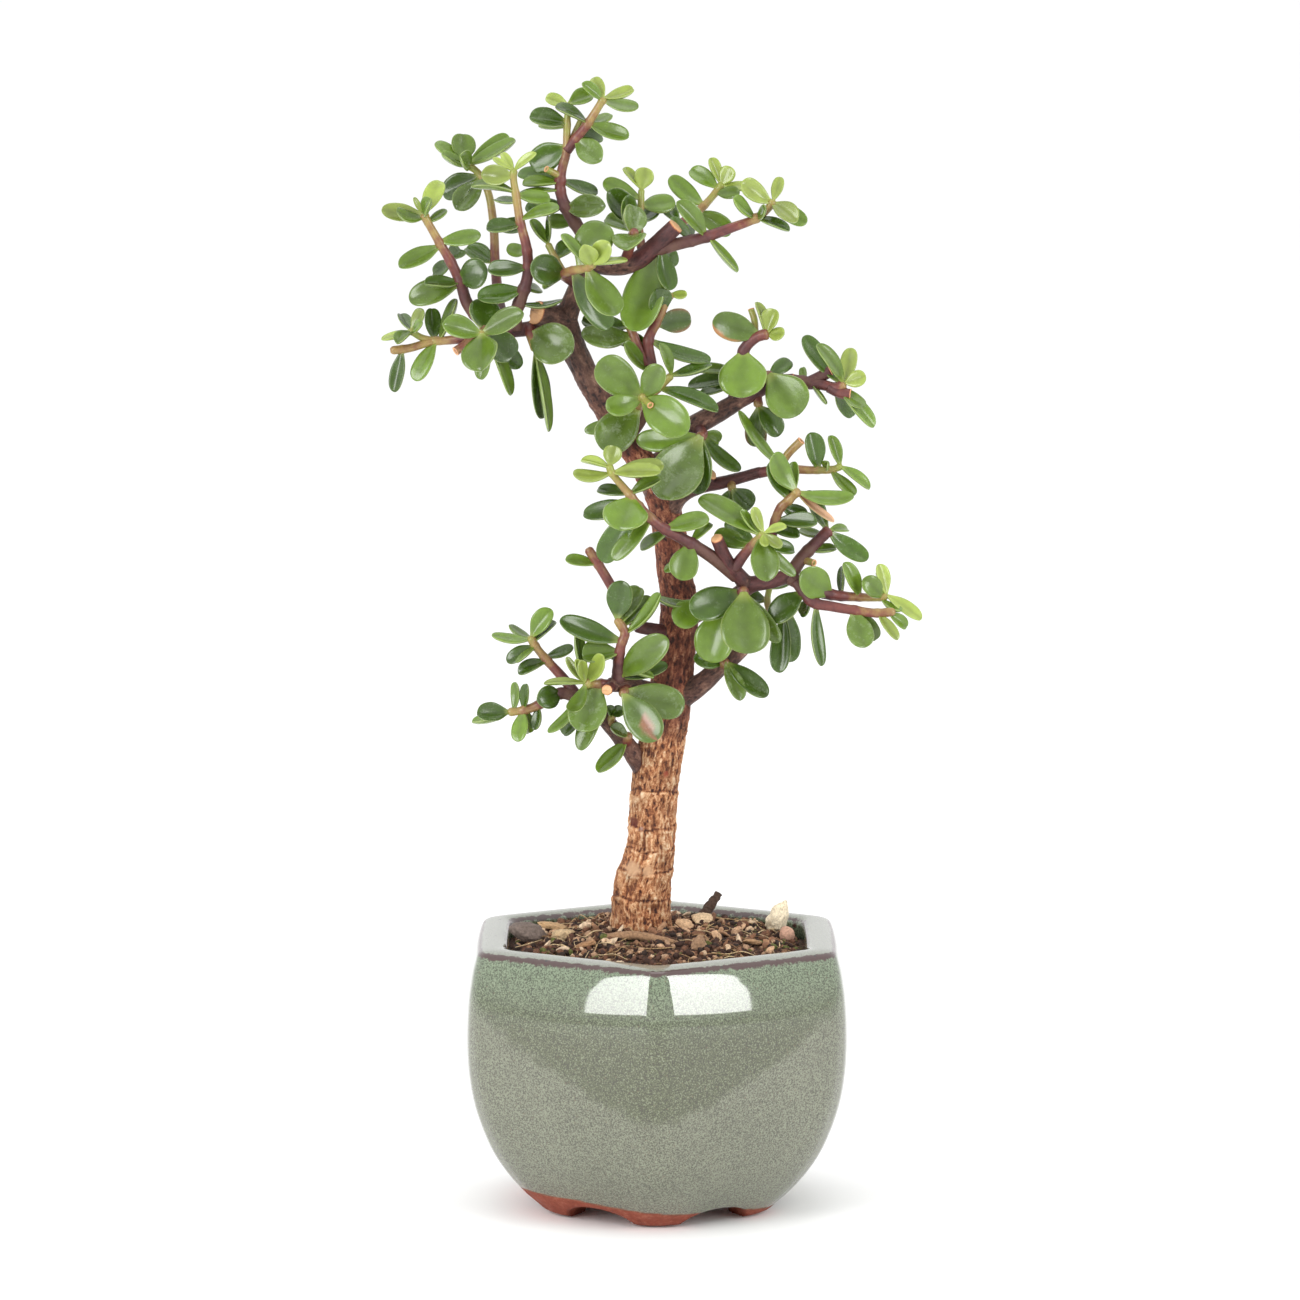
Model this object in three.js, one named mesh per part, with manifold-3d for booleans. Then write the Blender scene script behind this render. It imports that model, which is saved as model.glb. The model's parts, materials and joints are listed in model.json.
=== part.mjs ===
// Potted dwarf jade tree: a six-sided glazed pot on six feet, peat with bark and stones,
// one bare curved trunk, and leafy shoots.  Millimetres, +Z up, the front of the tree faces -Y,
// the origin is on the floor under the middle of the pot.
import * as THREE from 'three';
import Module from 'manifold-3d';

const wasm = await Module();
wasm.setup();

// ---------------------------------------------------------------- driving sizes
const POT_HEIGHT = 75;        // floor to the top of the rim
const POT_WIDTH = 105;        // across two opposite walls at the widest
const TRUNK_GIRTH = 1;        // multiplies every woody radius
const LEAF_GIRTH = 1;         // multiplies every leaf width
const LEAF_LENGTH = 1;        // multiplies every leaf length
const GAP = 0.3;              // clear gap between neighbouring pieces

const RIM_DATUM = 75;         // rim height the plant's own heights are measured against
const WIDTH_DATUM = 105;      // pot width the wall outline is drawn at
const GRID = 0.002;           // every vertex lies on this grid
const POT_SIDES = 6;
const POT_SEGMENTS = 36;
const CORNER_LOW = 14;        // how square the plan's corners are near the feet
const CORNER_HIGH = 40;       // and at the rim
const WALL_BOW = 0.03;        // how much each wall bulges, as a share of its reach
const RIM_STRAIGHTENS = 0.7;  // share of that bulge that is gone at the rim
const BULGE_POWER = 8;        // how late up the wall it goes
const ARCH_HALF_WIDTH = 10.5; // gap between two feet, at the floor
const ARCH_HEIGHT = 5.2;
const ARCH_REACH = 45;
const HOLE_RADIUS = 7;        // drain hole
const FLOOR_TOP = 11.2;       // inside floor of the pot
const MESH_RADIUS = 10;
const MESH_THICK = 0.8;
const MESH_HOLE = 1.4;
const MESH_PITCH = 4.2;
const SECTION_RADIUS = 0.3;   // of the section that every stem is swept from
const STEM_SIDES = 6;
const BRANCH_SIDES = 7;
const TRUNK_SIDES = 12;
const LEAF_POINTS = 7;        // points round a leaf's edge
const LEAF_THICK_BASE = 0.7;  // leaf thickness at no width
const LEAF_THICK_RATE = 0.15; // and how much it grows with width

// Wall outline: half the pot's width from wall to wall, then height.
const WALL = [
  [22, 0], [28.4, 0], [31.2, 0.9], [33.8, 3.2], [37, 6.3], [41.1, 11.2], [44.4, 16.1], [46.9, 21],
  [50.4, 31], [52.1, 40.8], [52.5, 50.6], [52, 60], [51.3, 65], [50.2, 70], [48.1, 74.6],
  [46.8, 75], [41.8, 75], [40.4, 73.3], [43.9, 66], [46, 58], [46.4, 48], [44.8, 36],
  [40.3, 24], [33, 14.6], [27, 11.5], [HOLE_RADIUS, FLOOR_TOP], [HOLE_RADIUS, 5.4], [20.5, 5.4],
];
// Soil: up the inside of the wall and over the mound.
const SOIL = [
  [0, 12.8], [MESH_RADIUS + 0.6, 12.8], [MESH_RADIUS + 1.2, 11.9], [26.8, 12], [32.7, 15],
  [39.9, 24.2], [44.4, 36.1], [46, 48], [45.6, 57.9], [43.5, 65.9], [40.2, 72.2], [30, 74.6],
  [14, 76.7], [0, 77.4],
];

// ---------------------------------------------------------------- wood
// Each limb: route points, then its radius at each of them.
const LIMBS = [
  [[[-4.3, 3, 62], [-4.4, 2.5, 74], [-4.4, 2.5, 80], [-4, 2, 88], [-1.9, 1.5, 97], [-1.2, 1, 108],
    [-0.3, 0.5, 118], [1, 0, 127], [3, 0.5, 137], [4.3, 1, 147], [5.7, 2, 157], [5.9, 3, 166],
    [4.6, 4, 176], [3.3, 5, 186], [0.8, 5, 195.5], [-3.5, 4, 203.5], [-8.5, 3, 211],
    [-13.2, 2, 218.5], [-17.3, 1, 225.5], [-20.8, 0, 232], [-23.5, -1, 239], [-25.2, -1.5, 244.5]],
   [7, 8.9, 8.2, 7.6, 6.5, 6.3, 6.3, 6.3, 6, 5.5, 5.2, 5.2, 4.8, 4.5, 4.4, 4, 3.8, 3.6, 3.5, 3.4,
    3.4, 3.4]],
  [[[-25, -1.5, 243.5], [-22.2, -1.5, 250.5], [-19.6, -1.5, 256], [-17, -1, 261], [-18, -1, 264]],
   [3.3, 2.8, 2.7, 2.6, 2.1]],
  [[[-17.5, -1, 259], [-10, -3, 258.5], [-5, -4, 260.2], [-1.5, -5, 263.2], [5.2, -7, 269.8]],
   [2.7, 2.6, 2.6, 2.4, 2.3]],
  [[[-24.5, -1.5, 243.5], [-29, -4, 245.2], [-32.6, -6.5, 246.3]], [3.2, 2.8, 2.5]],
  [[[-24.5, -1.5, 243], [-30, -3, 242.2], [-35, -4, 241.6], [-41, -5, 240.9], [-46, -5, 240]],
   [2.7, 2.2, 2, 1.9, 1.7]],
  [[[-2.5, 5, 198], [4, 4, 208], [10, 2, 214.5], [17, 1, 218.5], [24, 0, 222.8], [31, 0, 226.3],
    [37.5, -1, 227.2]], [3.4, 3.2, 3, 2.8, 2.4, 2.2, 2.1]],
  [[[3, 4.5, 190], [6.5, 2, 195.5], [12, 0, 198.3], [18, -1, 199.6], [24, -1, 201.2],
    [28.5, -2, 202.6]], [2.7, 2.3, 2, 1.8, 1.6, 1.5]],
  [[[10.5, 0, 197.5], [12.6, -2.5, 200], [15, -5, 202.3]], [1.6, 1.5, 1.6]],
  [[[6, 2, 161], [12, -3, 164.5], [17.5, -7, 167.3], [22, -10, 170], [25.5, -12, 173],
    [30.5, -12, 173.8], [36, -11.5, 175.6]], [3, 2.6, 2.4, 2.3, 2.3, 2.1, 1.9]],
  [[[24.5, -11.5, 172.5], [20.8, -15, 177.4]], [2.3, 2]],
  [[[20.5, -15, 177], [17.7, -19, 182.6], [15.9, -22, 187]], [1.9, 1.8, 1.75]],
  [[[7, 0, 141], [12.5, -2, 144.8], [17, -4, 149.2], [21, -6, 152.4], [25, -7, 156.6],
    [29.5, -7, 161.5]], [3.6, 2.9, 2.5, 2.1, 1.9, 1.7]],
  [[[-3, 0, 120.5], [-8.5, -4, 128.2], [-12.5, -7, 133.5], [-16, -9, 137.8], [-21, -10, 141.7]],
   [3.4, 2.6, 2.3, 2.1, 1.9]],
  [[[2, 0, 140.5], [-4, -5, 143.7], [-9, -10, 145.3], [-13, -13, 145.8]], [3, 2.4, 2.2, 2]],
  [[[-12.6, -12.5, 145.4], [-13.6, -18, 145]], [1.6, 1.55]],
  [[[4, 2, 157], [-1, -3, 159.5], [-5.8, -6, 160.7]], [2.2, 1.9, 1.6]],
];

// ---------------------------------------------------------------- leafy shoots
// name, then twigs; a twig is its route, its first and last radius, and its leaves.
// A leaf: how far along the twig it grows (0 to 1), where its tip is (x, y, z), its width, and
// how far its upper face is turned up from facing the front of the tree (degrees).
const SHOOTS = [
  ["crown", [
    [[[-17.6, -1, 263], [-20.8, -0.5, 268], [-24.6, 0, 274], [-26.1, 0, 279], [-25.7, 0, 284],
      [-24.4, 0, 289], [-24.3, 0, 294.5], [-24, 0, 302.3]], 2.0, 0.8, [
      [0.99, -30, 1, 303.7, 3.8, 20], [0.99, -17.5, 3, 304.2, 5.2, 40],
      [0.87, -34.4, -1, 298.4, 6.4, 35], [0.85, -32, 3, 295.8, 4, 100],
      [0.72, -34.2, 4, 285.2, 8, 10], [0.48, -36.3, -2, 280.4, 4.6, 60],
      [0.50, -16, 4, 277.8, 4.6, 55], [0.50, -37.6, 6, 283, 5, 30],
      [0.43, -37.4, -5, 277.6, 3.4, 70], [0.31, -13.8, -7, 275, 6.6, 15],
      [0.33, -35.6, 5, 274, 6, 30], [0.2, -29.5, 6, 270, 4.5, 30]]],
    [[[-24.3, 0, 289.5], [-21.6, -1, 293], [-18.3, -1.5, 297.3], [-14.2, -2, 303.8]], 1.45, 1.0, [
      [0.99, -17.2, 1, 309, 3.8, 15], [0.99, -6.3, 2, 305.8, 4, 50],
      [0.95, -20.2, -4, 307.8, 3.6, 30], [0.95, -5, -4, 301.2, 4.6, 50],
      [0.53, -27.4, -4, 301.4, 5.5, 65], [0.53, -7.6, -4, 293.2, 5, 35],
      [0.5, -12.5, 6, 298.9, 4.5, 60], [0.27, -14.9, 5, 293.2, 5, 20],
      [0.22, -15, -7, 287, 6.8, 10]]],
    [[[-23.6, 0.5, 290.5], [-22.3, 1.5, 293.6], [-20.4, 2, 297.6]], 1.0, 0.95, []],
    [[[-25.9, 0, 282.5], [-28, -1, 283.6], [-29.8, -2, 284.6]], 1.0, 0.9, []]]],
  ["left_mid", [
    [[[-38, -5, 241.5], [-38.2, -6, 245.5], [-36.5, -7, 250.5], [-34.8, -8, 256.5],
      [-35, -9, 263.5], [-36.8, -9, 271], [-37.8, -9, 277.5], [-38.6, -9, 283.5],
      [-38.3, -9, 285]], 1.9, 0.9, [
      [0.99, -44.2, -8, 287.9, 2.4, 40], [0.99, -41.7, -6, 289.2, 2.6, 20],
      [0.99, -32.3, -11, 289.4, 3, 40], [0.96, -47.2, -12, 283.8, 5.8, 5],
      [0.86, -50, -9, 280.2, 4.2, 70], [0.84, -28.8, -3, 276.8, 4.6, 30],
      [0.8, -43.5, -3, 276.5, 4, 60], [0.69, -26.2, -12, 275, 4.6, 60],
      [0.66, -45.8, -11, 269, 5, 45], [0.5, -40.5, -3, 263.5, 4, 30],
      [0.4, -45.4, -13, 258, 5.2, 40], [0.26, -48.3, -10, 250.5, 6.2, 25],
      [0.17, -25.4, -9, 249.8, 3.8, 65], [0.27, -31.5, -1, 252, 4, 50]]]]],
  ["left_back", [
    [[[-41, -3, 242], [-43, 6, 249], [-44, 12, 258], [-44.5, 15, 268], [-46, 17, 277],
      [-48.5, 18, 282], [-53, 18, 285.5]], 1.6, 0.9, [
      [0.98, -60.5, 19, 290.4, 5.2, 50], [0.99, -53, 22, 292.6, 7, 10],
      [0.97, -38.4, 16, 291.2, 6.4, 55], [0.97, -40.5, 22, 292.2, 5, 30],
      [0.95, -53.4, 11, 287.4, 5.6, 40], [0.95, -58.6, 14, 287.6, 5, 60],
      [0.88, -58.3, 19, 276, 7.5, 20], [0.86, -54.8, 12, 272.8, 6.5, 15],
      [0.6, -36, 18, 268, 5, 30], [0.42, -52, 16, 262, 6, 30]]]]],
  ["left_far", [
    [[[-43, -5, 241.3], [-48, -4.5, 244.5], [-51.2, -4, 248.5], [-53, -4, 254],
      [-55.5, -4, 259.5], [-58.7, -4, 265], [-62, -4, 270.8], [-63, -4, 272.8]], 1.9, 1.0, [
      [0.99, -74.2, -5, 273.8, 5.2, 15], [0.97, -70, -9, 273.6, 4.8, 60],
      [0.97, -60.7, -9, 277, 4.8, 60], [0.99, -58.3, 0, 281.2, 5.5, 15],
      [0.99, -65.5, -3, 277.1, 1.8, 20], [0.93, -56.6, -3, 273.6, 4, 50],
      [0.77, -47.4, -6, 267, 5.4, 30], [0.74, -69.5, -6, 258.4, 5.8, 30],
      [0.63, -53.2, 2, 262.6, 5, 20], [0.6, -60.6, 2, 256.2, 4.6, 30],
      [0.44, -66.9, -4, 249.4, 7.5, 20], [0.45, -62.4, -12, 254.3, 5, 50],
      [0.47, -45.6, -8, 258, 8.6, 10], [0.2, -42.6, -1, 250, 5, 40]]]]],
  ["left_low", [
    [[[-46, -5, 240], [-53, -4, 238.9], [-60, -3, 238.3], [-64, -3, 239.3], [-66.8, -3, 241.3]],
      1.6, 0.8, [
      [0.98, -74.4, -5, 238.7, 3.4, 50], [0.98, -63.2, -4, 247, 3.8, 40],
      [0.97, -69.5, 3, 245, 4, 40], [0.95, -70.2, -8, 237.9, 4, 60],
      [0.95, -63.2, -9, 243.9, 3.2, 60], [0.66, -61, 2, 246.6, 4.8, 15],
      [0.6, -54, -3, 249.6, 4.6, 60], [0.64, -65.4, -6, 227.7, 5.5, 35]]],
    [[[-60.5, -3, 238.3], [-66.8, -4, 236.4], [-72, -5, 235.8]], 1.1, 1.2, [
      [0.72, -70.9, -6, 224.6, 4.6, 25]]],
    [[[-49, -4.6, 239.5], [-52, -6, 237.3], [-54.3, -7, 235.8]], 1.3, 1.25, []]]],
  ["left_front", [
    [[[-45.5, -6, 241.5], [-46.5, -11, 241.5], [-47, -17, 241.2]], 1.5, 0.9, [
      [0.9, -57.4, -21, 244.4, 6.4, 30], [0.9, -35.6, -21, 247.3, 6.8, 30],
      [0.95, -47, -24, 232, 10.8, 15], [0.45, -46.5, -5, 249.6, 9, 15],
      [0.4, -38.6, -10, 234.4, 8.5, 10], [0.3, -36.8, -4, 231.2, 6, 20],
      [0.35, -39.4, -7, 223.8, 5, 55], [0.4, -47.5, -9, 228.3, 5, 30]]]]],
  ["left_hanging", [
    [[[-34.3, -5, 242], [-34, -8.5, 240], [-32.8, -9, 236]], 1.5, 1.0, [
      [0.4, -22.6, -14, 236.2, 11.8, 5], [0.98, -31, -6, 217.4, 6.5, 30],
      [0.98, -29.3, -11, 214.3, 5.6, 60]]]]],
  ["front_top", [
    [[[-21.5, -2.5, 253.5], [-25, -8.5, 256.5], [-22.5, -15, 258.3], [-18.5, -19, 259.3],
      [-17, -21, 260.6]], 1.5, 1.0, [
      [0.98, -19.5, -25, 266, 5.2, 5], [0.98, -12.8, -25, 266.7, 6, 10],
      [0.98, -7.8, -22, 261.5, 5, 75], [0.9, -25.6, -18, 268.2, 4.2, 55],
      [0.86, -10.8, -24, 247, 9, 25], [0.74, -14, -14, 271, 11, 20],
      [0.36, -34, -14, 259.5, 8.6, 5], [0.3, -30.6, -7, 252.6, 6, 100],
      [0.62, -12.8, -9, 242, 7.5, 20]]],
    [[[-25, -8.5, 256.8], [-27.5, -6, 261], [-29.5, -5, 264.8]], 1.1, 0.9, [
      [0.98, -34.2, -3, 271, 4, 50], [0.98, -29.2, -6, 272.3, 4.2, 65],
      [0.5, -23, 0, 264, 5, 40]]]]],
  ["top_dark", [
    [[[-8.5, -4, 260.5], [-7, -9, 265], [-6, -14, 268.9]], 1.4, 1.3, [
      [0.82, -6.6, -9, 275.3, 8.6, 35], [0.8, -8, -22, 264.3, 9.5, 30]]]]],
  ["top_cluster", [
    [[[-4, -4, 262], [-4.8, 0, 268], [-4.4, 2, 274], [-4.2, 3, 279]], 1.3, 0.8, [
      [0.98, -9.1, 6, 284.4, 3, 45], [0.98, -3, 3, 284.7, 5.5, 10],
      [0.85, -14.6, 2, 280.9, 5.6, 40], [0.75, 4.9, 6, 275.3, 6.2, 35],
      [0.5, -13.4, -3, 278.6, 7.6, 15], [0.2, -8.2, -7, 277.8, 6, 35],
      [0.5, 0.2, 8, 274.5, 5, 40], [0.35, -14, 6, 270.6, 5, 40]]]]],
  ["right_back", [
    [[[2.6, -4.5, 266.4], [7, 5, 269.8], [12.5, 8, 273.8], [16.2, 10, 277.8], [17.8, 10, 280]],
      1.5, 0.9, [
      [0.98, 14.4, 11, 286.8, 3.6, 40], [0.98, 20.2, 10, 284.4, 5, 20],
      [0.98, 26.6, 9, 278.6, 3.6, 50], [0.93, 9, 13, 283.4, 5, 25],
      [0.88, 22.4, 5, 277.6, 4, 40], [0.7, 3.4, 11, 281.6, 5.8, 30],
      [0.6, 20.2, 10, 266.6, 6.5, 25], [0.35, 0.4, 12, 275.6, 5, 30],
      [0.38, 10, 14, 265.6, 4.5, 40]]]]],
  ["right_top", [
    [[[-1.5, -5, 263], [5, -5, 264.5], [13, -4, 266.4], [20, -3, 268.8], [27, -2, 271.5],
      [30.5, -1, 274.5], [31.5, -1, 276.3]], 1.9, 1.0, [
      [0.97, 22.7, -4, 281.2, 5.8, 30], [0.99, 33.4, 2, 282.2, 3.6, 30],
      [0.97, 37.7, -6, 270.6, 5.6, 30], [0.98, 40.4, 0, 269.8, 5, 20],
      [0.8, 20.6, -6, 277.2, 4.6, 55], [0.81, 29.2, -7, 274.4, 4, 50],
      [0.81, 35.7, -4, 268, 4.8, 55], [0.41, 5.3, -8, 276.3, 5.4, 30],
      [0.43, 21.6, -7, 257.1, 4.8, 60], [0.07, 3.6, -9, 252.4, 5.8, 25],
      [0.12, 4.6, 0, 258, 5, 30], [0.3, 4.4, 1, 271.6, 4.5, 45],
      [0.04, -6.6, -11, 241.6, 11.3, 5]]]]],
  ["mid_right_top", [
    [[[-8.5, -1, 211.5], [-4.5, -3, 217], [-2.5, -5, 224], [-1.5, -5, 231], [-2.3, -5, 238.5],
      [0, -5, 243.7], [2.3, -5, 248.7], [3.8, -5, 251.5]], 2.0, 1.1, [
      [0.86, -0.3, -8, 252.8, 7.6, 20], [0.97, -6.4, -3, 254, 3.4, 60],
      [0.99, -2.6, -4, 255.1, 2.4, 30], [0.99, 8.1, -6, 250.9, 3, 40],
      [0.78, 9.2, -3, 244.3, 6.6, 10], [0.68, 14.5, -6, 233, 5.8, 50],
      [0.66, -10.5, 0, 238.6, 5, 30], [0.47, -8.8, -10, 238.3, 4.8, 45]]],
    [[[-2.5, -5, 232], [-6, -4, 239], [-7.5, -3, 242.6]], 1.3, 1.2, [
      [0.7, -20.4, -7, 240.3, 8, 35], [0.95, -20.3, 4, 243.4, 5.5, 30]]],
    [[[-2.5, -5, 222.5], [0, -8, 225.5], [4, -9, 229.6]], 1.2, 1.0, [
      [0.98, 0.6, -12, 238.3, 4.4, 45], [0.98, 14.8, -8, 232.2, 5.4, 60],
      [0.5, 16.4, -13, 220, 6, 45]]]]],
  ["mid_front", [
    [[[-6.5, 0, 213.5], [-5.5, -9, 219.5], [-4, -18, 224], [-3.8, -21, 225]], 1.4, 1.0, [
      [0.88, -15.6, -20, 234.5, 10, 10], [0.93, 1.2, -24, 233.5, 7, 20],
      [0.9, -13.6, -25, 222, 6.3, 25], [0.9, 8.3, -27, 216, 10.6, 5],
      [0.6, -15, -19, 210.6, 11, 15], [0.4, -19.6, -6, 214, 4, 40]]],
    [[[-3.8, -19.5, 224.4], [-1.8, -23, 222.8]], 0.9, 0.9, []]]],
  ["mid_dusty", [
    [[[11.5, 0, 214], [12.3, -4, 213], [11.6, -8, 212.6]], 1.6, 1.2, [
      [0.95, 0.6, -20, 197.4, 14, 5], [0.9, 11.2, -10, 197.3, 8.5, 20],
      [0.8, -5.6, -13, 212, 7, 25], [0.4, 16.8, 0, 210.3, 5, 20],
      [0.6, 22.4, -8, 203.4, 5.6, 50]]]]],
  ["right_pair", [
    [[[21, 1, 221.5], [22.5, -1, 230], [23.7, -2, 236], [27, -2.5, 239.2], [30.3, -3, 240.3]],
      2.0, 1.3, [
      [0.9, 15, -4, 243.8, 8, 10], [0.95, 26.6, -1, 248.6, 3.5, 45],
      [0.97, 31.8, -2, 246.8, 5, 20], [0.98, 34.4, -5, 240.2, 4.6, 30],
      [0.62, 23, -9, 223.4, 13.5, 5], [0.3, 8.4, 3, 225.3, 5.5, 40],
      [0.36, 10.8, 6, 229.6, 4, 60], [0.22, 11.6, -3, 223.8, 3.5, 65]]],
    [[[26.5, -2.4, 239], [26.4, 0, 243.5], [25.5, 1, 246.4]], 1.0, 0.9, []]]],
  ["right_round", [
    [[[30, 0, 226.5], [30.2, -3.5, 229.5]], 1.5, 1.3, [
      [0.9, 38.6, -6, 218.6, 12, 10], [0.7, 36.2, 3, 232.4, 4.5, 15]]]]],
  ["right_under", [
    [[[27, 0, 224], [27.6, -1, 220]], 1.4, 1.2, [
      [0.9, 33, -2, 212.2, 6.5, 20], [0.9, 27.3, 5, 208.6, 6.5, 15]]]]],
  ["right_end", [
    [[[36.5, -1, 227.2], [44, -2, 226.4], [49, -3, 225.6], [50.8, -3, 226.8]], 1.9, 1.2, [
      [0.95, 39.7, 1, 239.2, 5.5, 30], [0.97, 43, -6, 237.5, 5.6, 45],
      [0.99, 52.6, 2, 235.9, 5, 15], [0.99, 56.5, -4, 228.8, 5, 25],
      [0.9, 56, -7, 220.6, 4.6, 30], [0.85, 58.6, -4, 214.8, 5, 50],
      [0.8, 53, 3, 217, 4.5, 25], [0.35, 45.7, -6, 221.3, 3, 70],
      [0.2, 39.6, 3, 230.5, 2.4, 40]]],
    [[[46.5, -2.6, 225.6], [49.5, -3.5, 224.2], [52.3, -4, 223.9]], 1.5, 1.45, []],
    [[[41, -1.5, 226.8], [44, -1, 228.2], [47, -1, 229.8]], 1.6, 1.6, []]]],
  ["right_mid", [
    [[[27.5, -2, 202.2], [34, -2, 203.3], [42, -2, 203], [48, -2, 203.3], [50.3, -2, 204.3]],
      1.5, 0.9, [
      [0.7, 41.6, -2, 213.3, 5.8, 20], [0.97, 46.7, 0, 212.2, 4.2, 35],
      [0.97, 57.6, -3, 197.8, 4.4, 45], [0.85, 53.5, -6, 196.5, 4.5, 55],
      [0.8, 46.2, -5, 205.6, 3, 50], [0.3, 22, -5, 219.4, 5, 50]]],
    [[[33, -2, 203.3], [35.5, -3, 207.5], [39, -4, 211.2]], 1.1, 1.15, []]]],
  ["right_low", [
    [[[20, -1, 200.2], [20.4, -3.5, 197.8]], 1.3, 1.1, [
      [0.9, 25.4, -3, 192.6, 6.5, 25], [0.9, 18, 2, 190.5, 5, 30]]]]],
  ["right_upper", [
    [[[30.5, -12, 173.5], [30.6, -11.5, 183], [33, -12, 193.3], [36, -13, 196.5],
      [38.3, -14, 199]], 1.6, 1.1, [
      [0.97, 31.2, -18, 209.2, 6.6, 30], [0.85, 30.6, -11, 206.3, 5.5, 25],
      [0.85, 37, -8, 206, 4.5, 30], [0.75, 40.6, -10, 191.4, 4.5, 20],
      [0.97, 53, -16, 197.2, 5.5, 45], [0.96, 47.8, -12, 190, 2.5, 40],
      [0.6, 43.2, -16, 190.2, 5, 45], [0.5, 38.5, -14, 186.4, 4, 45]]]]],
  ["front_cross", [
    [[[21.4, -13.6, 175.6], [14, -19.5, 182], [6, -23, 187.3], [0, -25, 191], [-4, -25, 194.9],
      [-8, -24.5, 199.7], [-12.3, -24, 205], [-12.8, -24, 207]], 2.0, 0.9, [
      [0.99, -11.3, -22, 211.7, 5.2, 10], [0.98, -20.5, -21, 207.6, 3.6, 60],
      [0.95, -22.5, -26, 204.6, 4.8, 60], [0.95, 1, -28, 205.3, 5.6, 45],
      [0.95, 1.8, -20, 206.4, 5.5, 25], [0.8, 1, -25, 203, 4.5, 55],
      [0.78, -9.8, -31, 190, 12.5, 10], [0.72, -19.8, -18, 193, 6, 25],
      [0.8, -16, -19, 199.6, 4, 40], [0.62, -11.8, -27, 181.6, 5.2, 35],
      [0.64, -6, -20, 188.2, 4, 70], [0.53, 14, -24, 192.4, 6, 40],
      [0.5, -4.5, -17, 183.5, 4, 40], [0.36, 6.2, -26, 176, 8, 10],
      [0.36, 14.8, -18, 190.2, 3.4, 40], [0.33, 2, -19, 177.4, 3.5, 45],
      [0.72, -14.8, -21, 180.4, 7.2, 15]]]]],
  ["front_lime", [
    [[[20.8, -16, 178], [24, -18.4, 182.7], [27.5, -21, 186.8], [28.8, -22, 188.3]], 1.7, 0.9, [
      [0.98, 25.7, -22, 195.2, 3.2, 35], [0.98, 34.8, -22, 190, 2.8, 50],
      [0.98, 33.3, -26, 184.7, 3.4, 30], [0.98, 28.9, -27, 185.2, 2.6, 30],
      [0.93, 22.3, -22, 194.4, 3.6, 50], [0.91, 11.2, -17, 197, 7, 30],
      [0.88, 29.6, -27, 175.8, 7.8, 8], [0.85, 37.2, -20, 176.4, 4, 50],
      [0.55, 15.8, -12, 187.4, 5.5, 25], [0.7, 18.6, -11, 190, 4.5, 30],
      [0.75, 37, -15, 182.6, 5, 40]]]]],
  ["right_red", [
    [[[36, -11.5, 175.4], [39, -10, 179.8], [43, -9, 184], [46.8, -9, 187.8]], 2.0, 1.4, [
      [0.95, 57, -10, 179.5, 5.8, 30], [0.97, 51.8, -4, 187, 3.2, 50],
      [0.95, 40.3, -8, 198, 5.5, 35], [0.5, 48.6, -6, 182, 3.6, 55],
      [0.85, 38.6, -3, 186.8, 4, 60]]],
    [[[39.3, -10, 179.5], [42.4, -12.5, 178.9]], 1.1, 1.0, []]]],
  ["right_far", [
    [[[35.6, -11.5, 175], [42, -12, 171.6], [48, -11, 170], [55, -10, 169.3], [61, -10, 169.3],
      [62.3, -10, 170]], 2.0, 0.9, [
      [0.99, 59.8, -10, 178.3, 4.8, 40], [0.99, 71.5, -12, 163.4, 4.8, 40],
      [0.97, 59.6, -5, 175.3, 3.5, 50], [0.95, 55.6, -14, 174.8, 5.6, 25],
      [0.93, 66, -14, 166, 3, 70], [0.73, 50.4, -12, 179, 5, 35],
      [0.55, 50.3, -6, 177.4, 3.2, 60], [0.45, 38.6, -18, 177, 8.8, 8]]]]],
  ["right_lowest", [
    [[[37.5, -12.5, 174], [42, -14.5, 168.6], [47, -14.5, 167.4], [53, -14, 166.3],
      [59, -14, 165.5], [64.4, -14, 165.9]], 1.6, 1.15, [
      [0.62, 56, -19, 156.7, 7.5, 10], [0.65, 59.4, -12, 158, 5, 15],
      [0.84, 64.9, -17, 158.5, 3.8, 40], [0.93, 67.5, -12, 161.2, 3.6, 30],
      [0.28, 44.3, -17, 151.4, 5, 45], [0.22, 38.8, -8, 164.4, 4, 50],
      [0.12, 30.8, -15, 163.4, 8, 30]]]]],
  ["front_big", [
    [[[22, -11, 170], [23.2, -15, 171.6], [23.4, -17.5, 171.4]], 1.7, 1.3, [
      [0.92, 24, -24, 155.8, 14, 5], [0.5, 9, -20, 166.6, 9.5, 15],
      [0.8, 33, -18, 158, 5, 15]]]]],
  ["front_round", [
    [[[12, -3.5, 164.8], [11.5, -8.5, 168.3]], 1.5, 1.2, [
      [0.92, 5.1, -14, 162.3, 8, 10], [0.88, 0, -15, 169.6, 3.8, 65]]]]],
  ["front_oval", [
    [[[17.5, -7.5, 167], [17.4, -10.5, 166]], 1.4, 1.2, [
      [0.85, 14.8, -13, 151.8, 11.5, 12]]]]],
  ["low_right", [
    [[[28, -7, 160], [33, -7, 164], [36.4, -7, 165.2]], 1.8, 1.1, [
      [0.8, 33.2, -10, 148.6, 6, 25], [0.95, 36.2, -5, 150.8, 7, 20]]],
    [[[31.5, -7, 163], [30, -3, 167], [30.6, 0, 170.6]], 1.1, 0.8, [
      [0.97, 37.4, 4, 173.8, 4.5, 40], [0.6, 24, 4, 167, 5, 30],
      [0.97, 27, 6, 178, 4.6, 30]]]]],
  ["low_branch", [
    [[[18, -4.6, 150], [18.6, -8.4, 151.4]], 1.5, 1.2, [
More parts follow.
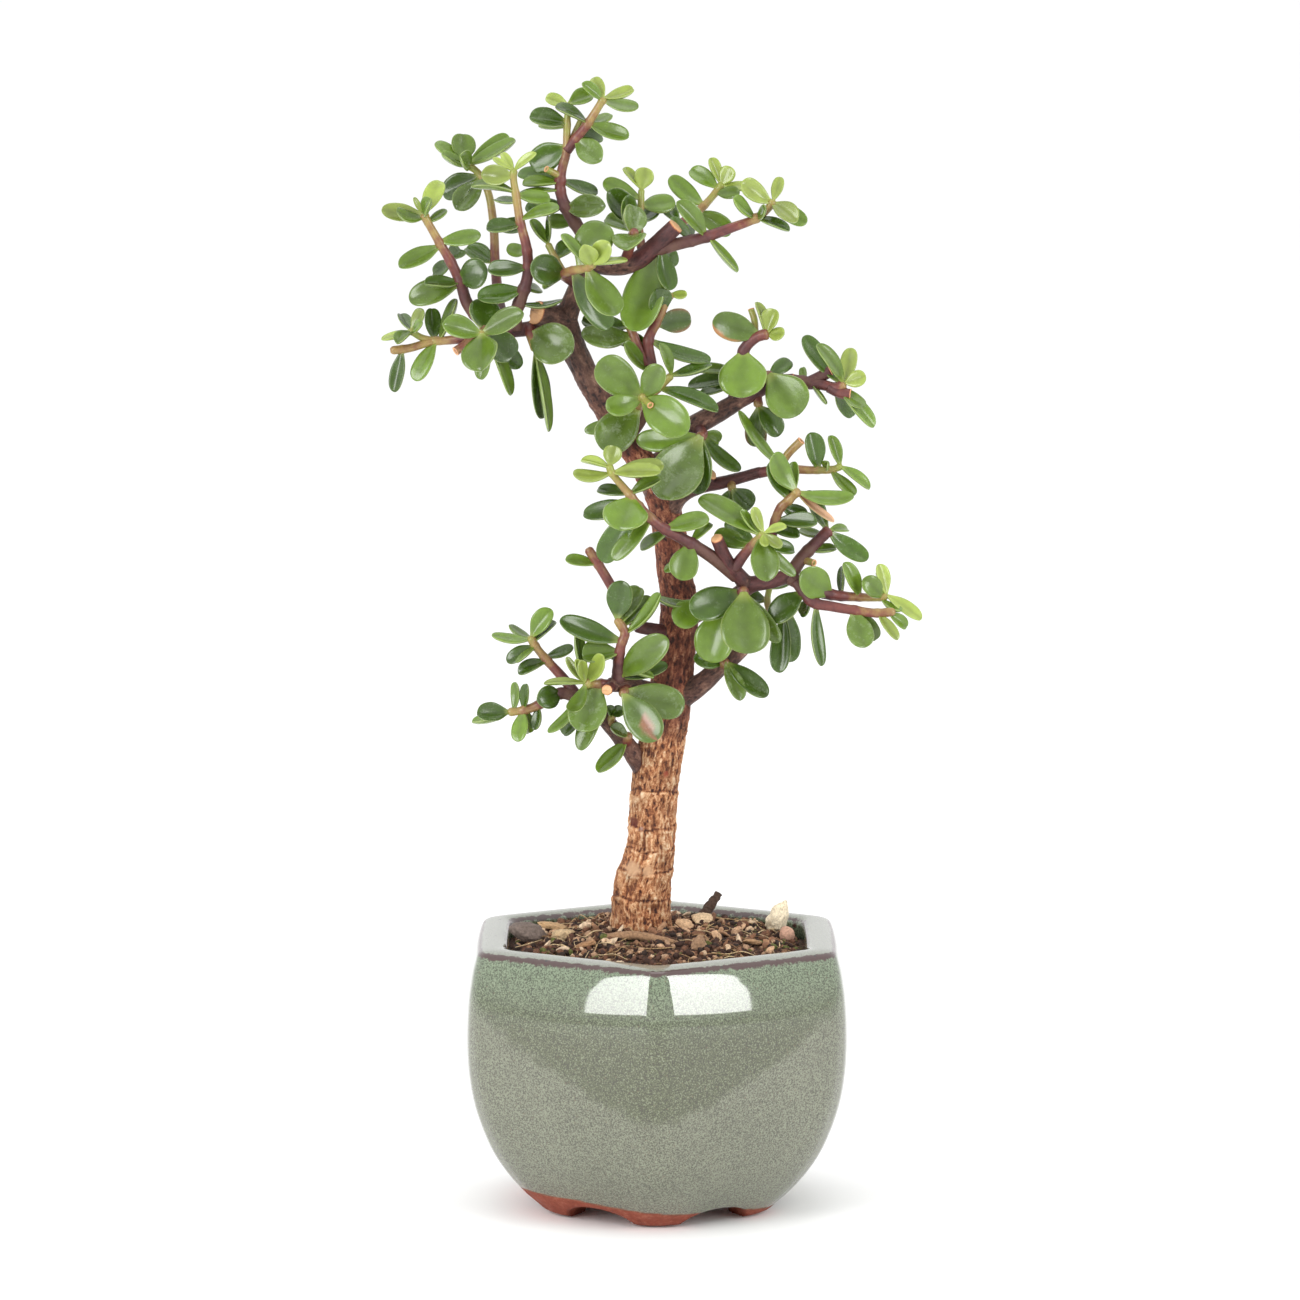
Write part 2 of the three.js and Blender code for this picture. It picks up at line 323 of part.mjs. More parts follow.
      [0.85, 22.6, -13, 141.4, 5.6, 30], [0.88, 30, -10, 142.2, 6.8, 30],
      [0.4, 9.9, -9, 152.6, 5, 20]]]]],
  ["left_up", [
    [[[-10.5, -11.5, 145.6], [-10.5, -13, 151], [-9.7, -14, 156.8], [-8.7, -14, 160],
      [-11, -14, 164]], 1.7, 1.1, [
      [0.64, -26.3, -17, 163.9, 7, 30], [0.98, -9.4, -15, 174.5, 7.4, 10],
      [0.75, 1, -19, 171.4, 4.5, 60], [0.12, 3, -20, 159.4, 8.5, 25],
      [0.1, 2.9, -8, 150.4, 4.5, 40], [0.2, -0.8, -12, 147.6, 4, 80],
      [0.9, -4.6, -7, 171.6, 5.5, 20], [0.85, -1.4, -4, 168.4, 5, 30],
      [0.48, -20.2, -15, 153.6, 7, 50], [0.35, -12.8, -8, 153.6, 4, 40]]]]],
  ["left_tan", [
    [[[-5, -5.6, 160.5], [-9, -7.5, 165], [-12, -9, 171.5], [-15.5, -9, 177.5],
      [-18.8, -9, 182.6]], 1.5, 1.3, [
      [0.8, -24.8, -10, 179.6, 3.8, 50]]]]],
  ["left_lime", [
    [[[-12.6, -13, 145.8], [-17, -15, 146.3], [-19.5, -17, 146.8]], 1.5, 1.0, [
      [0.98, -24.5, -17, 153.9, 2.6, 40], [0.98, -22, -20, 153.7, 3, 40],
      [0.98, -20.6, -22, 153.8, 3, 35], [0.98, -30.6, -18, 146.7, 3.2, 60],
      [0.95, -14.4, -20, 154.8, 5.5, 35], [0.95, -23.4, -25, 140.1, 4.5, 30],
      [0.9, -29.4, -18, 133.4, 4, 60], [0.4, -21, -21, 134.3, 10.5, 8],
      [0.3, -21, -14, 128, 6.5, 20], [0.35, -25.4, -11, 131.8, 6, 20],
      [0.85, -21.6, -12, 161.3, 3.6, 50]]]]],
  ["left_scarred", [
    [[[-8.5, -11, 144.6], [-9.3, -16, 143.6]], 1.4, 1.2, [
      [0.9, 0.2, -22, 132, 9.5, 8], [0.5, 7.4, -12, 139.4, 9.5, 8]]]]],
  ["low_left", [
    [[[-8.4, -5, 128.4], [-7.8, -9, 131.6]], 1.5, 1.2, [
      [0.85, -12.6, -13, 134.2, 4, 45], [0.4, -16, -11, 121.4, 5.8, 35]]]]],
  ["low_left_bud", [
    [[[-12.9, -8, 134], [-12, -11, 137.4]], 1.2, 1.0, [
      [0.9, -8.6, -12, 138.8, 3.4, 30], [0.9, -13.6, -13, 140, 3, 30]]]]],
  ["left_reach", [
    [[[-20.5, -10, 141.5], [-26, -10, 143], [-31, -10, 140.3], [-36, -10, 138.4],
      [-40.5, -10, 137.8]], 1.8, 1.0, [
      [0.98, -48.8, -13, 137.6, 6, 30], [0.98, -50.3, -8, 134.7, 5, 75],
      [0.93, -38.4, -9, 146, 3.4, 45], [0.8, -35.2, -12, 145.9, 3.6, 40],
      [0.8, -37.7, -14, 130.3, 5, 25], [0.76, -34.8, -6, 131.5, 3.5, 30],
      [0.6, -33, -12, 133.2, 3.6, 50], [0.28, -32.5, -16, 141.8, 6.6, 10]]]]],
  ["left_rise", [
    [[[-21.5, -9.5, 142], [-26, -8.5, 147.6], [-30.5, -8, 152.5], [-33.5, -8, 156.5],
      [-34.3, -8, 158.5]], 1.6, 1.0, [
      [0.97, -28.6, -8, 165.8, 5.5, 25], [0.95, -44.8, -10, 158.8, 4.4, 60],
      [0.97, -40, -4, 161, 4, 60], [0.9, -27.3, -6, 162, 3.8, 45],
      [0.85, -40.7, -9, 151.4, 4.6, 30], [0.85, -38, -13, 151.8, 3, 60],
      [0.6, -37.6, -10, 148.3, 4.2, 45], [0.66, -22.8, -5, 155.2, 3.8, 50]]]]],
];

// ---------------------------------------------------------------- loose pieces on the soil
// name, middle, size, turn about x, y and z (degrees), colour
const STONES = [
  ['stone_left', [-35.2, -4, 76.2], [5.2, 3.8, 2.6], [8, 10, 20], 0x6f6259],
  ['stone_white', [33.4, 9, 78.2], [2.8, 2.4, 4.6], [5, 28, 15], 0xcfc3ac],
  ['pebble_pink', [35.6, -1, 75], [2.1, 2.1, 2.3], [0, 0, 0], 0xb98d78],
  ['pebble_front', [11.4, -23, 75.8], [2.1, 1.8, 2.7], [0, 8, 30], 0x93745a],
  ['pebble_tan', [-25.6, -8, 76.2], [3.1, 2.2, 1.5], [10, -12, 0], 0xb39a78],
];
const CHIPS = [
  ['bark_chip_1', [-28.5, 6, 76], [8.5, 4, 1.3], [12, 10, 20], 0xb4946c],
  ['bark_chip_2', [12.5, 5, 78.2], [5.4, 4.4, 1.4], [28, -15, 35], 0xa98a6b],
  ['bark_chip_3', [7.6, -3, 78.2], [4.6, 3, 1.5], [30, 22, -20], 0x9c7a5b],
  ['bark_chip_4', [-19.6, -20, 75.6], [6.6, 3.4, 1.2], [10, -14, -25], 0x8c6a4c],
  ['bark_chip_5', [26, -15, 75.4], [6, 3.6, 1.2], [-8, 12, 30], 0x94775a],
  ['bark_chip_6', [-8, 27, 75.8], [7, 4, 1.3], [14, 6, -12], 0x9a7c5c],
];
// name, route and radii, colour
const STICKS = [
  ['surface_root', [[[-14.5, -12.5, 76], [-11, -15, 77], [-6, -16, 77.4], [-1, -17, 76.8],
    [4, -19, 76], [8, -22, 75]], [1, 1.15, 1.2, 1.15, 1, 0.8]], 0x8b6a4e],
  ['dead_twig', [[[12.5, 22, 75.6], [15, 24.5, 78.6], [17.2, 26.5, 81.4]], [1.5, 1.4, 1.2]],
    0x4a372b],
];

// ---------------------------------------------------------------- shaping
const lift = POT_HEIGHT - RIM_DATUM;
const heighten = POT_HEIGHT / RIM_DATUM;
const widen = POT_WIDTH / WIDTH_DATUM;

// Puts a geometry's vertices on a fine grid, joins those that meet, and makes it a solid.
function toSolid(geometry) {
  const flat = geometry.index ? geometry.toNonIndexed() : geometry;
  const position = flat.getAttribute('position');
  const seen = new Map();
  const vertices = [];
  const corners = [];
  for (let i = 0; i < position.count; i += 1) {
    const p = [position.getX(i), position.getY(i), position.getZ(i)]
      .map((value) => Math.round(value / GRID) * GRID);
    const key = p.map((value) => value.toFixed(3)).join(',');
    if (!seen.has(key)) {
      seen.set(key, vertices.length / 3);
      vertices.push(...p);
    }
    corners.push(seen.get(key));
  }
  return solidFrom(vertices, corners);
}

function solidFrom(vertices, corners) {
  const faces = [];
  for (let i = 0; i < corners.length; i += 3) {
    const [a, b, c] = [corners[i], corners[i + 1], corners[i + 2]];
    if (a !== b && b !== c && c !== a) faces.push(a, b, c);
  }
  return new wasm.Manifold(new wasm.Mesh({
    numProp: 3, vertProperties: new Float32Array(vertices), triVerts: new Uint32Array(faces),
  }));
}

function toGeometry(solid) {
  const mesh = solid.getMesh();
  const geometry = new THREE.BufferGeometry();
  const count = mesh.vertProperties.length / mesh.numProp;
  const position = new Float32Array(count * 3);
  for (let i = 0; i < count; i += 1) {
    for (let k = 0; k < 3; k += 1) position[i * 3 + k] = mesh.vertProperties[i * mesh.numProp + k];
  }
  geometry.setAttribute('position', new THREE.BufferAttribute(position, 3));
  geometry.setIndex(Array.from(mesh.triVerts));
  geometry.computeVertexNormals();
  return geometry;
}

// Moves every vertex of a geometry through a function of its position.
function reshape(geometry, move) {
  const position = geometry.getAttribute('position');
  const point = new THREE.Vector3();
  for (let i = 0; i < position.count; i += 1) {
    point.fromBufferAttribute(position, i);
    move(point);
    position.setXYZ(i, point.x, point.y, point.z);
  }
  return geometry;
}

// How far out a six-sided plan with rounded corners lies, for a wall 1 from the middle.
// high is 0 at the feet and 1 at the rim.
function planReach(angle, high) {
  const sharpness = THREE.MathUtils.lerp(CORNER_LOW, CORNER_HIGH, high);
  let sum = 0;
  for (let k = 0; k < POT_SIDES; k += 1) {
    const facing = Math.cos(angle - (k * 2 * Math.PI) / POT_SIDES);
    if (facing > 0) sum += facing ** sharpness;
  }
  const corner = Math.PI / POT_SIDES;
  const aside = THREE.MathUtils.euclideanModulo(angle + corner, 2 * corner) - corner;
  const bow = WALL_BOW * (1 - RIM_STRAIGHTENS * high ** BULGE_POWER);
  return sum ** (-1 / sharpness) * (1 - bow * (Math.tan(aside) / Math.tan(corner)) ** 2);
}

// Turns a round lathe body into the pot's six-sided one; the drain hole stays round.
function squareOff(geometry) {
  return reshape(geometry, (p) => {
    const radius = Math.hypot(p.x, p.y);
    const blend = THREE.MathUtils.smoothstep(radius, HOLE_RADIUS + 5, HOLE_RADIUS + 14);
    const high = THREE.MathUtils.clamp(p.z / RIM_DATUM, 0, 1);
    const reach = planReach(Math.atan2(p.y, p.x), high);
    const factor = THREE.MathUtils.lerp(1, reach, blend);
    const spread = THREE.MathUtils.lerp(1, widen, blend);
    p.set(p.x * factor * spread, p.y * factor * spread, p.z * heighten);
  });
}

function latheSolid(outline, closed) {
  const points = outline.map(([radius, height]) => new THREE.Vector2(radius, height));
  if (closed) points.push(points[0].clone());
  const geometry = new THREE.LatheGeometry(points, POT_SEGMENTS);
  geometry.rotateX(Math.PI / 2);
  return toSolid(squareOff(geometry));
}

// A stem: a round section swept along a smooth curve through the route, then swelled or thinned
// to its own radius at every step.
function limbSolid(route, radii, sides, extra = 0) {
  const path = new THREE.CatmullRomCurve3(route.map(([x, y, z]) => new THREE.Vector3(x, y, z)));
  const steps = Math.round((route.length - 1) * (sides > STEM_SIDES ? 1.3 : 1));
  const section = new THREE.Shape().absarc(0, 0, SECTION_RADIUS, 0, 2 * Math.PI);
  const geometry = new THREE.ExtrudeGeometry(section, {
    steps, curveSegments: Math.ceil(sides / 2), extrudePath: path, bevelEnabled: false,
  });
  const centres = path.getSpacedPoints(steps);
  reshape(geometry, (p) => {
    const ring = nearestIndex(centres, p);
    const swell = (radiusAt(radii, ring / steps) + extra) / SECTION_RADIUS;
    p.sub(centres[ring]).multiplyScalar(swell).add(centres[ring]);
    if (ring === 0) p.addScaledVector(path.getTangentAt(0), -extra);
    if (ring === steps) p.addScaledVector(path.getTangentAt(1), extra);
  });
  return toSolid(geometry);
}

function nearestIndex(points, place) {
  let best = 0;
  points.forEach((point, index) => {
    if (point.distanceToSquared(place) < points[best].distanceToSquared(place)) best = index;
  });
  return best;
}

function radiusAt(radii, t) {
  const along = t * (radii.length - 1);
  const low = Math.min(Math.floor(along), radii.length - 2);
  return THREE.MathUtils.lerp(radii[low], radii[low + 1], along - low);
}

// The direction a leaf's upper face looks in.
function faceDirection(along, turn) {
  const front = new THREE.Vector3(0, -1, 0);
  front.addScaledVector(along, -front.dot(along));
  if (front.length() < 0.2) front.set(0, 0, 1).addScaledVector(along, -along.z);
  front.normalize();
  const up = new THREE.Vector3().crossVectors(along, front).normalize();
  if (up.z < 0) up.negate();
  const angle = THREE.MathUtils.degToRad(turn);
  return front.multiplyScalar(Math.cos(angle)).addScaledVector(up, Math.sin(angle));
}

// A fleshy leaf: a flattened, egg-shaped lens, widest towards its tip.
function leafSolid(base, tip, width, turn, extra = 0) {
  const along = tip.clone().sub(base);
  const length = along.length() * LEAF_LENGTH + extra;
  along.normalize();
  const face = faceDirection(along, turn);
  const side = new THREE.Vector3().crossVectors(along, face);
  const half = (width * LEAF_GIRTH) / 2 + extra;
  const thick = (LEAF_THICK_BASE + width * LEAF_GIRTH * LEAF_THICK_RATE) / 2 + extra;
  const geometry = new THREE.SphereGeometry(1, LEAF_POINTS, 2);
  return toSolid(reshape(geometry, (p) => {
    const share = (1 + p.x) / 2;
    const across = p.z * half * (0.72 + 0.48 * share);
    const up = p.y * thick;
    p.copy(base).addScaledVector(along, share * length);
    p.addScaledVector(side, across).addScaledVector(face, up);
  }));
}

function twigSolids([route, first, last, leaves], extra) {
  const radii = [first * TRUNK_GIRTH, last * TRUNK_GIRTH];
  const curve = new THREE.CatmullRomCurve3(route.map(([x, y, z]) => new THREE.Vector3(x, y, z)));
  const solids = [limbSolid(route, radii, STEM_SIDES, extra)];
  for (const [share, x, y, z, width, turn] of leaves) {
    const base = curve.getPointAt(share);
    solids.push(leafSolid(base, new THREE.Vector3(x, y, z), width, turn, extra));
  }
  return solids;
}

// The largest single body of a solid, so that no crumb is left behind by a cut.
function largest(solid) {
  return solid.decompose().reduce((best, piece) => (piece.volume() > best.volume() ? piece : best));
}

// Joins vertices that a cut left all but touching, then keeps the main body again.
function settle(solid) {
  return largest(toSolid(toGeometry(largest(solid))));
}

function near(a, b) {
  const [p, q] = [a.boundingBox(), b.boundingBox()];
  return [0, 1, 2].every((k) => p.min[k] <= q.max[k] && q.min[k] <= p.max[k]);
}

// ---------------------------------------------------------------- pieces
const pieces = new THREE.Group();

function addPiece(name, solid, color, roughness) {
  const material = new THREE.MeshStandardMaterial({ color, roughness, metalness: 0 });
  const mesh = new THREE.Mesh(toGeometry(solid), material);
  mesh.name = name;
  pieces.add(mesh);
}

function potSolid() {
  let pot = latheSolid(WALL, true);
  for (let k = 0; k < POT_SIDES; k += 1) {
    const arch = new THREE.CylinderGeometry(1, 1, ARCH_REACH, 14);
    arch.rotateZ(Math.PI / 2);
    arch.scale(1, ARCH_HALF_WIDTH * widen, ARCH_HEIGHT);
    arch.translate(ARCH_REACH / 2 + HOLE_RADIUS + 8, 0, 0);
    arch.rotateZ((k * 2 * Math.PI) / POT_SIDES);
    pot = pot.subtract(toSolid(arch));
  }
  return pot;
}

function meshSolid() {
  const shape = new THREE.Shape();
  shape.absarc(0, 0, MESH_RADIUS, 0, 2 * Math.PI);
  for (let column = -1; column <= 1; column += 1) {
    for (let row = -1; row <= 1; row += 1) {
      const hole = new THREE.Path();
      hole.absarc(column * MESH_PITCH, row * MESH_PITCH, MESH_HOLE, 0, 2 * Math.PI, true);
      shape.holes.push(hole);
    }
  }
  const options = { depth: MESH_THICK, bevelEnabled: false, curveSegments: 4 };
  const geometry = new THREE.ExtrudeGeometry(shape, options);
  return toSolid(geometry.translate(0, 0, FLOOR_TOP * heighten + GAP));
}

function limbUnion(extra) {
  const solids = LIMBS.map(([route, radii], index) => {
    const girths = radii.map((radius) => radius * TRUNK_GIRTH);
    return limbSolid(route, girths, index === 0 ? TRUNK_SIDES : BRANCH_SIDES, extra);
  });
  return wasm.Manifold.union(solids).translate([0, 0, lift]);
}

function shootUnion(twigs, extra) {
  const solids = twigs.flatMap((twig) => twigSolids(twig, extra));
  return wasm.Manifold.union(solids).translate([0, 0, lift]);
}

function lumpSolid([, middle, size, turn], geometry, extra = 0) {
  geometry.scale(...size.map((value) => value + extra));
  geometry.rotateX(THREE.MathUtils.degToRad(turn[0]));
  geometry.rotateY(THREE.MathUtils.degToRad(turn[1]));
  geometry.rotateZ(THREE.MathUtils.degToRad(turn[2]));
  return toSolid(geometry.translate(...onSoil(middle)));
}

// A place on the soil moves with the pot's height and width.
function onSoil([x, y, z]) {
  return [x * widen, y * widen, z * heighten];
}

// Wood first, then each shoot trimmed back from everything already grown.
function growTree() {
  addPiece('trunk', settle(limbUnion(0)), 0x8a5f42, 0.85);
  const grown = [limbUnion(GAP)];
  for (const [name, twigs] of SHOOTS) {
    let solid = shootUnion(twigs, 0);
    for (const other of grown) {
      if (near(solid, other)) solid = solid.subtract(other);
    }
    grown.push(shootUnion(twigs, GAP));
    addPiece(`shoot_${name}`, settle(solid), 0x5d7a34, 0.42);
  }
}

function layGround() {
  const wood = limbUnion(GAP);
  const loose = [];
  const take = (name, solid, clear, color) => {
    loose.push(clear);
    addPiece(name, solid, color, 0.9);
  };
  for (const [name, [route, radii], color] of STICKS) {
    const body = (extra) => limbSolid(route.map(onSoil), radii, STEM_SIDES, extra);
    take(name, body(0), body(GAP), color);
  }
  for (const stone of STONES) {
    const body = (extra) => lumpSolid(stone, new THREE.IcosahedronGeometry(1, 1), extra);
    take(stone[0], body(0), body(GAP), stone[4]);
  }
  for (const chip of CHIPS) {
    const body = (extra) => lumpSolid(chip, new THREE.BoxGeometry(1, 1, 1), extra);
    take(chip[0], body(0), body(2 * GAP), chip[4]);
  }
  const soil = latheSolid(SOIL, false).subtract(wasm.Manifold.union([wood, ...loose]));
  addPiece('soil', settle(soil), 0x2e241d, 0.95);
}

addPiece('pot', potSolid(), 0x8f9484, 0.22);
addPiece('drain_mesh', meshSolid(), 0x262626, 0.7);
growTree();
layGround();

export default pieces;
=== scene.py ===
"""Potted dwarf jade tree: a bare curved trunk with fleshy leaves in a six-sided glazed pot.

Sizes are in millimetres and become metres as each mesh is made; the floor, the lamps and the
camera are in metres.  The frame is the CAD model's own: +Z up, the front of the tree faces -Y,
the origin on the floor under the pot.
"""
import json
import math
import random

import bpy
import numpy as np
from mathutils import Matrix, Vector, noise


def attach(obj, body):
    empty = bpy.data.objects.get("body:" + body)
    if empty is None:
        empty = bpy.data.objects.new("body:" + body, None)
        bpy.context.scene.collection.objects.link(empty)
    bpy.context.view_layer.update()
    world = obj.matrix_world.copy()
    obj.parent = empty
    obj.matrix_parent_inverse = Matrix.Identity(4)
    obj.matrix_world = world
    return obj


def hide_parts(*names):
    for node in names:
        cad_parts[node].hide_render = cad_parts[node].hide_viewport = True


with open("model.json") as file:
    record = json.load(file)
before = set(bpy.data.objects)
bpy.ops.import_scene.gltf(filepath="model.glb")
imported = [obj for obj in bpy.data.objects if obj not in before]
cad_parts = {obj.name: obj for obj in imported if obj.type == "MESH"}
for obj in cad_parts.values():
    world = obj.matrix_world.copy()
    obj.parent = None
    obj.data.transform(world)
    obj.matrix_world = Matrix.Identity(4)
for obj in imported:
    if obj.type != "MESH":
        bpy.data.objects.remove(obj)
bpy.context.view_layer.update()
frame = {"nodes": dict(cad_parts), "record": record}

MM = 0.001

# ------------------------------------------------------------------ pot
POT_SIDES = 6
POT_SEGMENTS = 288
CORNER_LOW, CORNER_HIGH = 14, 40          # how square the plan's corners are, low and high
ARCH_HALF_WIDTH, ARCH_HEIGHT = 10.5, 5.2  # gap between two feet
ARCH_INNER = 15.0
WALL_BOW = 0.03                           # how much each wall bulges, as a share of its reach
RIM_STRAIGHTENS, BULGE_POWER = 0.7, 8     # share of the bulge gone at the rim, and how late
HOLE_RADIUS = 7.0
RIM_HEIGHT = 75.0
# Half the width from wall to wall, then height; round the outside, the rim and the inside.
WALL = [
    (22, 0), (28.4, 0), (31.2, 0.9), (33.8, 3.2), (37, 6.3), (41.1, 11.2), (44.4, 16.1),
    (46.9, 21), (50.4, 31), (52.1, 40.8), (52.5, 50.6), (52, 60), (51.3, 65), (50.2, 70),
    (48.6, 74.1), (46.8, 75), (41.8, 75), (40.4, 73.3), (43.9, 66), (46, 58), (46.4, 48),
    (44.8, 36), (40.3, 24), (33, 14.6), (27, 11.5), (HOLE_RADIUS, 11.2), (HOLE_RADIUS, 5.4),
    (20.5, 5.4),
]
WALL_INSIDE = 25                          # where the wall's list reaches its smooth inside
RIM_OUTER, RIM_INNER = 48.4, 41.0         # where the glaze breaks to brown
LIP_HEIGHT = 74.2                         # over which the rim's flat top begins
FOOT_RADIUS, FOOT_HEIGHT = 20, 6          # the bare clay under the pot lies beyond and below these
CLAY_HEIGHT, CLAY_SLANT = 5.2, 0.085      # where the glaze ends, and its slant from left to right
PAINTED_REFLECTION_LOW, PAINTED_REFLECTION_SLOPE, PAINTED_REFLECTION_FRONT = 33.0, 1.05, 56.0   # the slanting lower edge of an olive zone on the front faces, a painted reflection of the dark room
SOIL_PROFILE = [(0, 77.4), (14, 76.7), (30, 74.6), (40.2, 72.2)]
SOIL_EDGE = 41.0
SOIL_BOTTOM = 60.0
SOIL_SINKS_BEHIND = 2.6                   # lower against the back walls
TRUNK_FOOT, TRUNK_CLEAR = (-4, 2.5), 9.5  # nothing is scattered this near the trunk's foot

# ------------------------------------------------------------------ wood
# Each limb: route points, its radius at each of them, and whether its far end is a bare cut.
LIMBS = [
    ([[-4.3, 3, 62], [-4.4, 2.5, 74], [-4.4, 2.5, 80], [-4, 2, 88], [-1.9, 1.5, 97], [-1.2, 1,
     108], [-0.3, 0.5, 118], [1, 0, 127], [3, 0.5, 137], [4.3, 1, 147], [5.7, 2, 157], [5.9, 3,
     166], [4.6, 4, 176], [3.3, 5, 186], [0.8, 5, 195.5], [-3.5, 4, 203.5], [-8.5, 3, 211],
     [-13.2, 2, 218.5], [-17.3, 1, 225.5], [-20.8, 0, 232], [-23.5, -1, 239], [-25.2, -1.5,
     244.5]], [7, 8.9, 8.2, 7.6, 6.5, 6.3, 6.3, 6.3, 6, 5.5, 5.2, 5.2, 4.8, 4.5, 4.4, 4, 3.8,
     3.6, 3.5, 3.4, 3.4, 3.4], False),
    ([[-25, -1.5, 243.5], [-22.2, -1.5, 250.5], [-19.6, -1.5, 256], [-17, -1, 261], [-18, -1,
     264]], [3.3, 2.8, 2.7, 2.6, 2.1], False),
    ([[-17.5, -1, 259], [-10, -3, 258.5], [-5, -4, 260.2], [-1.5, -5, 263.2], [5.2, -7, 269.8]],
     [2.7, 2.6, 2.6, 2.4, 2.3], True),
    ([[-24.5, -1.5, 243.5], [-29, -4, 245.2], [-32.6, -6.5, 246.3]], [3.2, 3.3, 3.3], True),
    ([[-24.5, -1.5, 243], [-30, -3, 242.2], [-35, -4, 241.6], [-41, -5, 240.9], [-46, -5, 240]],
     [2.7, 2.2, 2, 1.9, 1.7], False),
    ([[-2.5, 5, 198], [4, 4, 208], [10, 2, 214.5], [17, 1, 218.5], [24, 0, 222.8], [31, 0,
     226.3], [37.5, -1, 227.2]], [3.4, 3.2, 3, 2.8, 2.4, 2.2, 2.1], True),
    ([[3, 4.5, 190], [6.5, 2, 195.5], [12, 0, 198.3], [18, -1, 199.6], [24, -1, 201.2], [28.5,
     -2, 202.6]], [2.7, 2.3, 2, 1.8, 1.6, 1.5], False),
    ([[10.5, 0, 197.5], [12.6, -2.5, 200], [15, -5, 202.3]], [1.6, 1.5, 1.6], True),
    ([[6, 2, 161], [12, -3, 164.5], [17.5, -7, 167.3], [22, -10, 170], [25.5, -12, 173], [30.5,
     -12, 173.8], [36, -11.5, 175.6]], [3, 2.6, 2.4, 2.3, 2.3, 2.1, 1.9], False),
    ([[24.5, -11.5, 172.5], [20.8, -15, 177.4]], [2.3, 2], False),
    ([[20.5, -15, 177], [17.7, -19, 182.6], [15.9, -22, 187]], [1.9, 1.8, 1.75], True),
    ([[7, 0, 141], [12.5, -2, 144.8], [17, -4, 149.2], [21, -6, 152.4], [25, -7, 156.6], [29.5,
     -7, 161.5]], [3.6, 2.9, 2.5, 2.1, 1.9, 1.7], False),
    ([[-3, 0, 120.5], [-8.5, -4, 128.2], [-12.5, -7, 133.5], [-16, -9, 137.8], [-21, -10,
     141.7]], [3.4, 2.6, 2.3, 2.1, 1.9], False),
    ([[2, 0, 140.5], [-4, -5, 143.7], [-9, -10, 145.3], [-13, -13, 145.8]], [3, 2.4, 2.2, 2],
     False),
    ([[-12.6, -12.5, 145.4], [-13.6, -18, 145]], [1.6, 1.55], True),
    ([[4, 2, 157], [-1, -3, 159.5], [-5.8, -6, 160.7]], [2.2, 1.9, 1.6], False),
]

